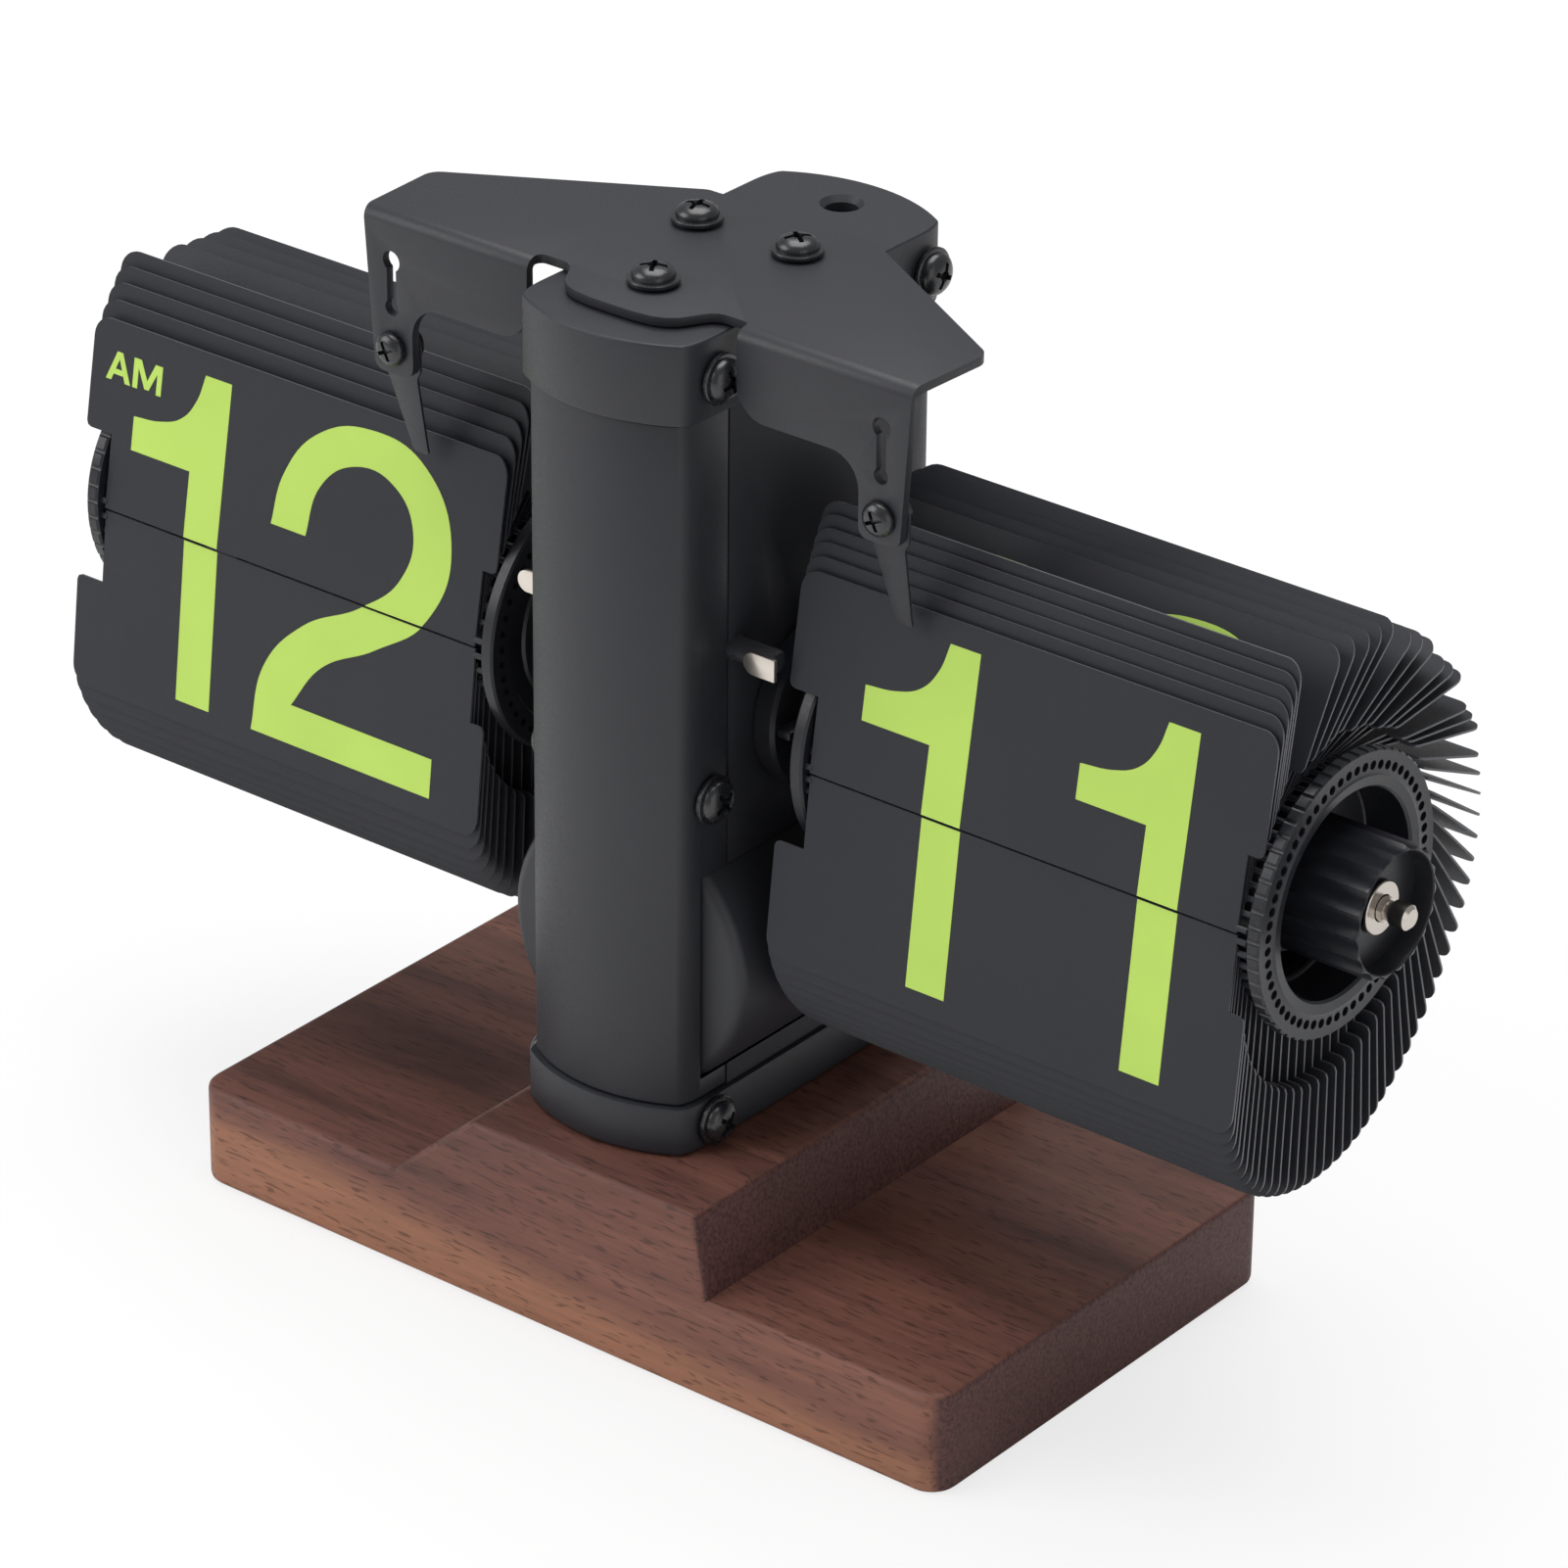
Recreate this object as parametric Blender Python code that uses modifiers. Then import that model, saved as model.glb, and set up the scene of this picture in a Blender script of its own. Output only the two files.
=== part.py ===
"""Flip clock on a walnut base.

A dark column stands on the base. It carries an hour drum on its left and a minute drum on its right, each with
a ring of flap cards, and a battery tube runs through its foot. A sheet bracket on top holds the detent fingers.
Units are metres. X runs to the right, Y to the back and Z up, and the clock faces -Y. The origin is the centre
of the base's underside.
"""

import math

import bmesh
import bpy
from mathutils import Matrix, Vector

mm = 0.001

# General clearances
seat_gap = 0.3 * mm
bore_gap = 0.15 * mm
cut_overrun = 2.0 * mm
weld_distance = 0.01 * mm

# Walnut base
base_length = 126.3 * mm
base_depth = 70.7 * mm
deck_height = 14.6 * mm
step_height = 26.5 * mm
base_corner_radius = 4.0 * mm
step_left_foot_x = -27.7 * mm
step_left_top_x = -14.5 * mm
step_right_top_x = 23.3 * mm
step_right_foot_x = 25.3 * mm
base_screw_spacing = 30.0 * mm
base_screw_head_radius = 4.0 * mm
base_screw_head_height = 2.2 * mm
base_screw_shank_radius = 1.9 * mm
base_screw_recess = 3.0 * mm
base_screw_grip = 4.0 * mm

# Column
column_width = 25.7 * mm
column_front_y = -24.0 * mm
column_rear_y = 25.0 * mm
column_bulge = 4.0 * mm
column_corner_radius = 2.5 * mm
bulge_steps = 8
column_wall = 1.8 * mm
shell_seam_y = -16.0 * mm
# The shells start this far above the raised step, and the cap's top stands this far above the drum axis
shell_rise = 7.1 * mm
cap_rise = 57.6 * mm
cap_depth = 10.9 * mm
collar_proud = 0.8 * mm
collar_edge_radius = 2.4 * mm
cap_proud = 0.9 * mm
cap_wall = 2.2 * mm
cap_edge_radius = 2.0 * mm
cap_hole_y = 22.5 * mm
cap_hole_radius = 2.2 * mm

# Pan screws on the column's sides
pan_head_radius = 2.8 * mm
pan_head_height = 1.6 * mm
pan_washer_radius = 3.4 * mm
pan_washer_height = 0.7 * mm
pan_shank_radius = 1.4 * mm
pan_shank_length = 4.5 * mm
crown_radius_share = 0.7
front_screw_y = -19.3 * mm
rear_screw_y = 23.0 * mm
cap_screw_drop = 5.8 * mm
shell_screw_drop = 6.7 * mm
collar_screw_rise = 3.8 * mm

# Battery tube, cell and lid
tube_rise = 24.8 * mm
tube_radius = 19.2 * mm
tube_wall = 1.7 * mm
tube_front_y = -20.7 * mm
cell_radius = 16.4 * mm
cell_length = 60.0 * mm
cell_nub_radius = 4.6 * mm
cell_nub_length = 1.5 * mm
contact_radius = 8.0 * mm
contact_thickness = 0.5 * mm
lid_thickness = 2.4 * mm
lid_plug_depth = 3.0 * mm
lid_slot_length = 16.0 * mm
lid_slot_width = 2.0 * mm
lid_slot_depth = 1.2 * mm

# Drums: what both share
drum_axis_y = 0.5 * mm
# Free height between the battery tube and the hour wheel's pitch circle
axis_clearance = 0.9 * mm
drum_length = 72.8 * mm
# The drums stand clear of the battery tube's sides by these
minute_drum_clearance = 4.6 * mm
hour_drum_clearance = 5.3 * mm
left_flange_rim = 1.2 * mm
right_flange_rim = 2.1 * mm
flange_thickness = 2.0 * mm
flange_recess_radius = 13.7 * mm
flange_recess_depth = 7.0 * mm
flange_floor_thickness = 1.3 * mm
flange_window_radius = 11.2 * mm
flange_window_width = 3.6 * mm
# A window's outer and inner edges reach this far to each side of its middle, in degrees
flange_window_outer_degrees = 40.0
flange_window_inner_degrees = 34.0
pin_circle_radius = 16.6 * mm
core_radius = 9.0 * mm
core_wall = 1.3 * mm

# Flap cards
card_height = 26.1 * mm
card_thickness = 0.3 * mm
card_overhang = 2.0 * mm
card_end_margin = 2.3 * mm
card_corner = 1.6 * mm
card_notch_height = 9.3 * mm
card_right_notch = 2.3 * mm
card_notch_slant = 0.4 * mm
card_split_gap = 0.4 * mm
pin_band_depth = 2.0 * mm
minute_flap_count = 60
hour_flap_count = 48
# Pin angles run from +Y towards +Z, flap angles the same way: how the cards lean at each place on the ring.
# They lie in clusters, so the lean steps where a cluster ends
fan_pin_degrees = {
    "minute": (-177.0, -135.0, -90.0, -45.0, -20.0, 0.0, 27.0, 45.0, 57.0, 63.0, 75.0, 81.0, 93.0, 99.0, 111.0,
               117.0, 129.0, 141.0, 147.0, 177.0),
    "hour": (-176.3, -135.0, -90.0, -45.0, -20.0, 0.0, 27.0, 45.0, 56.2, 63.7, 78.7, 93.7, 101.2, 108.7, 116.2,
             123.7, 131.2, 138.7, 146.2, 176.3)}
fan_lean_degrees = {
    "minute": (-96.8, -94.0, -90.0, -84.0, -76.5, -65.0, -44.0, -29.5, -20.0, -12.0, -6.0, 4.5, 12.0, 20.5, 31.5,
               42.0, 49.5, 61.0, 80.3, 80.8),
    "hour": (-96.8, -94.0, -90.0, -84.0, -76.5, -65.0, -44.0, -29.5, -20.0, -12.0, 0.0, 13.5, 19.0, 27.0, 39.0,
             43.0, 48.0, 55.0, 75.5, 80.0)}
# How far behind the pin circle the cards stand at each place, because each one leans on the next
fan_shift_pin_degrees = (96.0, 120.0, 141.0, 147.0, 153.0, 159.0, 165.0, 170.0, 177.0)
fan_shift = (0.0, 0.6 * mm, 0.74 * mm, 1.15 * mm, 1.3 * mm, 1.27 * mm, 1.16 * mm, 0.88 * mm, 0.0)
fan_top_end_degrees = 95.0
fan_rear_end_degrees = -50.0

# Main shaft, bearings and knob
shaft_radius = 1.65 * mm
shaft_right_stub = 2.2 * mm
shaft_left_stub = 2.7 * mm
boss_radius = 11.5 * mm
boss_flange_thickness = 3.0 * mm
boss_neck_radius = 6.5 * mm
boss_neck_length = 6.0 * mm
knob_radius = 8.8 * mm
knob_flute_depth = 0.5 * mm
knob_flute_count = 18
knob_stand_out = 7.2 * mm
knob_recess_radius = 7.9 * mm
knob_recess_depth = 2.9 * mm
clip_washer_radius = 3.5 * mm
clip_washer_thickness = 0.5 * mm

# Gear train: the counts give the 1 to 24 step from the minutes to the hours
minute_pinion_teeth = 15
idler_wheel_teeth = 60
idler_pinion_teeth = 8
hour_wheel_teeth = 48
motor_pinion_teeth = 15
gear_centre_distance = 14.0 * mm
gear_thickness = 2.0 * mm
# A tooth's reach past the pitch circle and below it, as shares of the module, and its half widths as shares of a pitch
tooth_tip_share = 0.7
tooth_root_share = 1.0
tooth_half_root_share = 0.29
tooth_half_tip_share = 0.11
gear_plane_x = 4.0 * mm
hub_sleeve_radius = 3.0 * mm
arbor_radius = 1.0 * mm
motor_radius = 8.8 * mm
centre_plate_thickness = 1.6 * mm
centre_plate_margin = 2.4 * mm
centre_plate_clearance = 3.1 * mm
centre_plate_drop = 13.0 * mm
pillar_radius = 2.0 * mm
pillar_drop = 17.0 * mm
board_thickness = 1.2 * mm
board_height = 10.0 * mm
board_x = 8.0 * mm
wire_radius = 0.6 * mm
wire_y = 15.0 * mm

# Top bracket, fingers and retainer clips
sheet_thickness = 1.2 * mm
sheet_bend_share = 0.8
bracket_half_width = 44.6 * mm
bracket_rear_half_width = 15.0 * mm
bracket_rear_y = 12.3 * mm
bracket_side_x = 43.0 * mm
bracket_side_y = -2.0 * mm
bracket_corner_y = -4.6 * mm
bracket_front_y = -19.5 * mm
# Inwards and outwards from the column's sides
bracket_notch_clearance = 3.95 * mm
bracket_notch_y = -14.5 * mm
tongue_inset = 1.05 * mm
tongue_front_y = -22.4 * mm
tongue_corner = 3.0 * mm
ear_inner_x = 36.0 * mm
ear_outer_x = 42.5 * mm
ear_drop = 20.5 * mm
ear_corner = 1.5 * mm
flange_drop = 10.0 * mm
flange_inner_corner = 4.5 * mm
flange_arch_radius = 4.5 * mm
ear_screw_x = 39.4 * mm
ear_screw_drop = 17.0 * mm
keyhole_bottom_drop = 11.5 * mm
keyhole_top_drop = 5.0 * mm
keyhole_radius = 1.4 * mm
finger_root_width = 6.6 * mm
finger_tip_width = 3.0 * mm
finger_thickness = 0.4 * mm
# How far a finger reaches down over the top card, and the air between its tip and that card
finger_overlap = 1.9 * mm
finger_tip_air = 1.55 * mm
finger_screw_radius = 2.6 * mm
finger_screw_height = 1.3 * mm
finger_shank_radius = 1.1 * mm
finger_nut_height = 1.2 * mm
bracket_screw_inset = 4.75 * mm
bracket_screw_rear_y = 3.4 * mm
bracket_screw_front_y = -15.0 * mm
bracket_screw_length = 4.0 * mm
clip_post_radius = 1.6 * mm
clip_post_y = -14.4 * mm
clip_post_rise = 12.8 * mm
clip_post_length = 8.2 * mm
clip_length = 5.0 * mm
clip_width = 3.1 * mm
clip_thickness = 0.6 * mm

# Sides of round pieces
fine_sides = 36
round_sides = 24
small_sides = 12
wire_sides = 8

part_collection_name = "flip clock"
cutter_collection_name = "flip clock cutters"


# Scene and materials

def start_scene():
    """Empties the scene and makes the two collections."""
    for old in list(bpy.data.objects):
        bpy.data.objects.remove(old)
    for name in (part_collection_name, cutter_collection_name):
        collection = bpy.data.collections.get(name) or bpy.data.collections.new(name)
        if collection.name not in bpy.context.scene.collection.children:
            bpy.context.scene.collection.children.link(collection)


def finish_material(name, colour, roughness, metallic=0.0):
    """A Principled material with a base colour, a roughness and a metallic value."""
    material = bpy.data.materials.new(name)
    material.use_nodes = True
    shader = material.node_tree.nodes["Principled BSDF"]
    shader.inputs["Base Color"].default_value = (*colour, 1.0)
    shader.inputs["Roughness"].default_value = roughness
    shader.inputs["Metallic"].default_value = metallic
    material.diffuse_color = (*colour, 1.0)
    return material


finishes = {
    "walnut": ((0.19, 0.075, 0.035), 0.45, 0.0),
    "black plastic": ((0.022, 0.023, 0.026), 0.5, 0.0),
    "black sheet": ((0.03, 0.031, 0.035), 0.42, 0.0),
    "card": ((0.045, 0.047, 0.052), 0.55, 0.0),
    "bright steel": ((0.6, 0.58, 0.55), 0.3, 1.0),
    "dark screw": ((0.05, 0.05, 0.055), 0.35, 0.8),
    "brass": ((0.6, 0.42, 0.16), 0.35, 1.0),
    "white plastic": ((0.7, 0.7, 0.68), 0.45, 0.0),
    "cell wrap": ((0.35, 0.08, 0.05), 0.4, 0.0),
    "board": ((0.04, 0.16, 0.07), 0.5, 0.0),
    "wire": ((0.4, 0.03, 0.03), 0.5, 0.0),
}


# Modelling helpers

def add_part(name, mesh, finish, matrix=None):
    """Makes a named sub-part from a mesh, with its own material, smooth shading and sharp creases."""
    obj = bpy.data.objects.new(name, mesh)
    bpy.data.collections[part_collection_name].objects.link(obj)
    if matrix is not None:
        obj.matrix_world = matrix
    mesh.materials.clear()
    mesh.materials.append(finish_material(name, *finishes[finish]))
    mesh.shade_smooth()
    mesh.set_sharp_from_angle(angle=math.radians(35.0))
    return obj


def box_mesh(low, high):
    """A box between two corners."""
    mesh = bpy.data.meshes.new("box")
    bm = bmesh.new()
    size = Vector(high) - Vector(low)
    middle = (Vector(high) + Vector(low)) / 2
    bmesh.ops.create_cube(bm, size=1.0, matrix=Matrix.Translation(middle) @ Matrix.Diagonal((*size, 1.0)))
    bm.to_mesh(mesh)
    bm.free()
    return mesh


def along(axis):
    """Turns +Z onto the named axis."""
    turns = {
        "+Z": Matrix.Identity(4),
        "+X": Matrix.Rotation(math.radians(90.0), 4, "Y"),
        "-X": Matrix.Rotation(math.radians(-90.0), 4, "Y"),
        "+Y": Matrix.Rotation(math.radians(-90.0), 4, "X"),
        "-Y": Matrix.Rotation(math.radians(90.0), 4, "X"),
        "-Z": Matrix.Rotation(math.radians(180.0), 4, "X"),
    }
    return turns[axis]


def rod_mesh(start, axis, radius, length, sides=round_sides):
    """A cylinder from a start point along an axis."""
    mesh = bpy.data.meshes.new("rod")
    bm = bmesh.new()
    place = Matrix.Translation(start) @ along(axis) @ Matrix.Translation((0, 0, length / 2))
    bmesh.ops.create_cone(
        bm, cap_ends=True, segments=sides, radius1=radius, radius2=radius, depth=length, matrix=place)
    bm.to_mesh(mesh)
    bm.free()
    return mesh


def turned_mesh(profile, start, axis, sides=round_sides):
    """Spins a profile of (radius, height) points, listed from the top down its outer side, round an axis."""
    line = bpy.data.meshes.new("profile")
    points = [(radius, 0, height) for radius, height in profile]
    closed = profile[0][0] > 0
    edges = [(i, i + 1) for i in range(len(points) - 1)]
    if closed:
        edges.append((len(points) - 1, 0))
    line.from_pydata(points, edges, [])
    holder = bpy.data.objects.new("profile", line)
    bpy.data.collections[cutter_collection_name].objects.link(holder)
    spin = holder.modifiers.new("Screw", "SCREW")
    spin.steps = sides
    spin.render_steps = sides
    spin.use_merge_vertices = True
    spin.merge_threshold = weld_distance
    mesh = welded_mesh(evaluated_mesh(holder))
    mesh.transform(Matrix.Translation(start) @ along(axis))
    return mesh


def evaluated_mesh(obj):
    """The object's mesh with its modifiers applied; the object itself is removed."""
    bpy.context.view_layer.update()
    graph = bpy.context.evaluated_depsgraph_get()
    mesh = bpy.data.meshes.new_from_object(obj.evaluated_get(graph))
    bpy.data.objects.remove(obj)
    return mesh


def welded_mesh(mesh):
    """The mesh with its loose caps and seams joined."""
    bm = bmesh.new()
    bm.from_mesh(mesh)
    bmesh.ops.remove_doubles(bm, verts=bm.verts, dist=weld_distance)
    bm.to_mesh(mesh)
    bm.free()
    return mesh


def plate_mesh(outlines, thickness, matrix):
    """A flat plate: a filled 2D curve, whose further outlines are holes, extruded to a thickness about its plane."""
    curve = bpy.data.curves.new("outline", "CURVE")
    curve.dimensions = "2D"
    curve.fill_mode = "BOTH"
    curve.extrude = thickness / 2
    for outline in outlines:
        spline = curve.splines.new("POLY")
        spline.points.add(len(outline) - 1)
        spline.use_cyclic_u = True
        for point, (u, v) in zip(spline.points, outline):
            point.co = (u, v, 0, 1)
    holder = bpy.data.objects.new("outline", curve)
    bpy.data.collections[cutter_collection_name].objects.link(holder)
    mesh = welded_mesh(evaluated_mesh(holder))
    mesh.transform(matrix)
    return mesh


def moved_mesh(mesh, matrix):
    """A copy of a mesh in another place."""
    copy = mesh.copy()
    copy.transform(matrix)
    return copy


def combined_mesh(mesh, others, operation):
    """A mesh after a Boolean with each of the others in turn."""
    for other in others:
        body = bpy.data.objects.new("body", mesh)
        cutter = bpy.data.objects.new("cutter", other)
        for obj in (body, cutter):
            bpy.data.collections[cutter_collection_name].objects.link(obj)
        cutter.hide_render = True
        cutter.display_type = "WIRE"
        boolean = body.modifiers.new("Boolean", "BOOLEAN")
        boolean.operation = operation
        boolean.object = cutter
        mesh = evaluated_mesh(body)
        bpy.data.objects.remove(cutter)
    return mesh


def cut(mesh, cutters):
    return combined_mesh(mesh, cutters, "DIFFERENCE")


def fuse(mesh, others):
    return combined_mesh(mesh, others, "UNION")


def bevel_mesh(mesh, chosen, width, segments):
    """Rounds the edges for which chosen(edge) holds."""
    bm = bmesh.new()
    bm.from_mesh(mesh)
    edges = [edge for edge in bm.edges if chosen(edge)]
    bmesh.ops.bevel(
        bm, geom=edges, offset=width, segments=segments, profile=0.5, affect="EDGES", clamp_overlap=True)
    bm.to_mesh(mesh)
    bm.free()
    return mesh


def arc(centre, radius, start_degrees, end_degrees, steps):
    """Points on an arc, its two ends included."""
    points = []
    for i in range(steps + 1):
        angle = math.radians(start_degrees + (end_degrees - start_degrees) * i / steps)
        points.append((centre[0] + radius * math.cos(angle), centre[1] + radius * math.sin(angle)))
    return points


def circle(centre, radius, sides):
    """Points round a full circle."""
    return arc(centre, radius, 0.0, 360.0, sides)[:-1]


# Planes for plates: u and v are the outline's own directions
flat_plane = Matrix.Identity(4)
front_plane = Matrix(((1, 0, 0, 0), (0, 0, -1, 0), (0, 1, 0, 0), (0, 0, 0, 1)))
side_plane = Matrix(((0, 0, 1, 0), (1, 0, 0, 0), (0, 1, 0, 0), (0, 0, 0, 1)))


# Values worked out from the driving dimensions
half_column = column_width / 2
bracket_notch_x = half_column + bracket_notch_clearance
tongue_half_width = half_column - tongue_inset
bracket_screw_x = half_column - bracket_screw_inset
pin_angle_step = {"minute": 360.0 / minute_flap_count, "hour": 360.0 / hour_flap_count}
minute_drum_near_x = tube_radius + minute_drum_clearance
hour_drum_near_x = -tube_radius - hour_drum_clearance
drum_near_x = {"minute": minute_drum_near_x, "hour": hour_drum_near_x - drum_length}
card_width = card_overhang + drum_length - card_end_margin
knob_rim_x = minute_drum_near_x + drum_length + knob_stand_out
shaft_right_x = knob_rim_x + shaft_right_stub
shaft_left_x = hour_drum_near_x - drum_length - shaft_left_stub
left_flange_radius = pin_circle_radius + left_flange_rim
right_flange_radius = pin_circle_radius + right_flange_rim
shell_bottom_z = step_height + shell_rise
collar_screw_z = step_height + collar_screw_rise
tube_centre_z = step_height + tube_rise
hour_wheel_radius = gear_centre_distance * hour_wheel_teeth / (hour_wheel_teeth + idler_pinion_teeth)
drum_axis_z = tube_centre_z + tube_radius + hour_wheel_radius + axis_clearance
drum_axis = Vector((0, drum_axis_y, drum_axis_z))
idler_z = drum_axis_z + gear_centre_distance
motor_z = idler_z + gear_centre_distance
cap_top_z = drum_axis_z + cap_rise
shell_top_z = cap_top_z - cap_depth
cap_screw_z = cap_top_z - cap_screw_drop
shell_screw_z = drum_axis_z - shell_screw_drop
clip_post_z = drum_axis_z + clip_post_rise
centre_plate_bottom_z = tube_centre_z + tube_radius + centre_plate_clearance
centre_plate_top_z = cap_top_z - centre_plate_drop
pillar_top_z = cap_top_z - pillar_drop
flange_bottom_z = cap_top_z - flange_drop
ear_bottom_z = cap_top_z - ear_drop
ear_screw_z = cap_top_z - ear_screw_drop
keyhole_bottom_z = cap_top_z - keyhole_bottom_drop
keyhole_top_z = cap_top_z - keyhole_top_drop
finger_tip_z = drum_axis_z + card_height - finger_overlap
# Where the front minute card's face is at the height of a finger's tip
front_pin = math.radians(pin_angle_step["minute"] / 2)
front_lean = math.radians(fan_lean_degrees["minute"][-1])
front_root_y = drum_axis_y - pin_circle_radius * math.cos(front_pin)
front_root_z = drum_axis_z + pin_circle_radius * math.sin(front_pin)
card_face_y = front_root_y + (finger_tip_z - front_root_z) / math.tan(front_lean)
card_face_y -= card_thickness / 2 / math.sin(front_lean)
finger_back_y = bracket_front_y + sheet_thickness + seat_gap + finger_thickness
finger_tip_set_back = card_face_y - finger_tip_air - finger_back_y
bracket_bottom_z = cap_top_z + seat_gap
bracket_top_z = bracket_bottom_z + sheet_thickness
shell_floor_z = shell_bottom_z + seat_gap
shell_roof_z = shell_top_z - seat_gap
shaft_bore_radius = shaft_radius + bore_gap
sleeve_bore_radius = hub_sleeve_radius + seat_gap
cell_front_y = tube_front_y + tube_wall + seat_gap + contact_thickness + seat_gap
cell_rear_y = cell_front_y + cell_nub_length + cell_length
tube_rear_y = cell_rear_y + seat_gap + contact_thickness + seat_gap + lid_plug_depth - seat_gap


# Base

def build_base():
    half = base_length / 2
    outline = [
        (-half, 0), (half, 0), (half, deck_height), (step_right_foot_x, deck_height),
        (step_right_top_x, step_height), (step_left_top_x, step_height),
        (step_left_foot_x, deck_height), (-half, deck_height),
    ]
    block = plate_mesh([outline], base_depth, front_plane)

    def is_corner(edge):
        first, second = (vert.co for vert in edge.verts)
        upright = abs(first.x - second.x) < weld_distance and abs(first.y - second.y) < weld_distance
        return upright and abs(abs(first.x) - half) < weld_distance

    bevel_mesh(block, is_corner, base_corner_radius, 5)
    cutters = []
    for y in base_screw_places().values():
        cutters.append(rod_mesh(
            (0, y, -cut_overrun), "+Z", base_screw_head_radius + seat_gap,
            cut_overrun + base_screw_recess + base_screw_head_height))
        cutters.append(rod_mesh(
            (0, y, 0), "+Z", base_screw_shank_radius + seat_gap, step_height + cut_overrun, small_sides))
    add_part("walnut_base", cut(block, cutters), "walnut")
    top = step_height + seat_gap + base_screw_grip
    shoulder = base_screw_recess + base_screw_head_height - seat_gap
    for name, y in base_screw_places().items():
        profile = [
            (0, top), (base_screw_shank_radius, top), (base_screw_shank_radius, shoulder),
            (base_screw_head_radius, shoulder), (base_screw_head_radius, base_screw_recess),
            (0, base_screw_recess)]
        screw = turned_mesh(profile, (0, 0, 0), "+Z", small_sides)
        add_part("base_screw_" + name, screw, "bright steel", Matrix.Translation((0, y, 0)))


def base_screw_places():
    return {"front": -base_screw_spacing / 2, "rear": base_screw_spacing / 2}


# Column

def column_outline(offset):
    """The column's plan: straight sides and bulged front and rear, grown by an offset."""
    half = half_column + offset
    chord = half_column
    radius = (chord ** 2 + column_bulge ** 2) / (2 * column_bulge)
    spread = math.degrees(math.asin(half / (radius + offset)))
    front_centre = (0, column_front_y - column_bulge + radius)
    rear_centre = (0, column_rear_y + column_bulge - radius)
    front = arc(front_centre, radius + offset, -90.0 - spread, -90.0 + spread, bulge_steps)
    rear = arc(rear_centre, radius + offset, 90.0 - spread, 90.0 + spread, bulge_steps)
    return front + rear


def column_prism(offset, bottom_z, top_z):
    """A solid with the column's plan and rounded upright corners."""
    outline = column_outline(offset)
    corners = [Vector(outline[i]) for i in (0, bulge_steps, bulge_steps + 1, 2 * bulge_steps + 1)]
    middle = Matrix.Translation((0, 0, (bottom_z + top_z) / 2))
    mesh = plate_mesh([outline], top_z - bottom_z, middle)

    def is_corner(edge):
        first, second = (vert.co for vert in edge.verts)
        if abs(first.x - second.x) > weld_distance or abs(first.y - second.y) > weld_distance:
            return False
        return any((first.xy - corner).length < weld_distance for corner in corners)

    return bevel_mesh(mesh, is_corner, column_corner_radius + offset, 3)


def draw_in_end(mesh, end_z, loop_z, inset):
    """Chamfers one end of a column prism: a loop is added at one level and the end beyond it is drawn in."""
    half_width = max(vert.co.x for vert in mesh.vertices)
    low_y = min(vert.co.y for vert in mesh.vertices)
    high_y = max(vert.co.y for vert in mesh.vertices)
    middle_y = (low_y + high_y) / 2
    bm = bmesh.new()
    bm.from_mesh(mesh)
    everything = [*bm.verts, *bm.edges, *bm.faces]
    bmesh.ops.bisect_plane(bm, geom=everything, plane_co=(0, 0, loop_z), plane_no=(0, 0, 1))
    for vert in bm.verts:
        if abs(vert.co.z - end_z) < weld_distance:
            vert.co.x *= 1 - inset / half_width
            vert.co.y = middle_y + (vert.co.y - middle_y) * (1 - 2 * inset / (high_y - low_y))
    bm.to_mesh(mesh)
    bm.free()
    return mesh


def tube_cutter(front_y, clearance=seat_gap):
    """The space that the battery tube takes, with clearance, from a front plane to behind everything."""
    start = (0, front_y, tube_centre_z)
    return rod_mesh(start, "+Y", tube_radius + clearance, base_depth, fine_sides)


def side_holes(y_places, z, radius):
    """Cutters through both of the column's sides."""
    start_x = -half_column - cap_proud - cut_overrun
    return [rod_mesh((start_x, y, z), "+X", radius, -2 * start_x, small_sides) for y in y_places]


def build_collar():
    bottom_z = step_height + seat_gap
    plinth = column_prism(collar_proud, bottom_z, shell_bottom_z)
    draw_in_end(plinth, bottom_z, bottom_z + collar_edge_radius, collar_edge_radius)
    saddle = column_prism(0.0, shell_bottom_z - collar_edge_radius, tube_centre_z - tube_radius / 2)
    front_room = box_mesh(
        (-column_width, column_front_y - column_width, shell_bottom_z - seat_gap),
        (column_width, shell_seam_y + seat_gap, tube_centre_z))
    collar = fuse(plinth, [cut(saddle, [front_room])])
    collar = cut(collar, [tube_cutter(tube_front_y - seat_gap)])
    screw_holes = []
    for y in base_screw_places().values():
        screw_holes.append(rod_mesh(
            (0, y, step_height - cut_overrun), "+Z", base_screw_shank_radius + bore_gap,
            cut_overrun + seat_gap + base_screw_grip + seat_gap, small_sides))
    depth = pan_shank_length + seat_gap
    for side in (-1, 1):
        start = (side * (half_column + collar_proud - depth), front_screw_y, collar_screw_z)
        axis = "+X" if side > 0 else "-X"
        screw_holes.append(rod_mesh(start, axis, pan_shank_radius + bore_gap, depth + cut_overrun, small_sides))
    add_part("bottom_collar", cut(collar, screw_holes), "black plastic")


def shell_ring(bottom_z):
    """The column's hollow wall from a level up to the cap."""
    ring = column_prism(0.0, bottom_z, shell_roof_z)
    core = column_prism(-column_wall, bottom_z - cut_overrun, shell_roof_z + cut_overrun)
    return cut(ring, [core])


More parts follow.
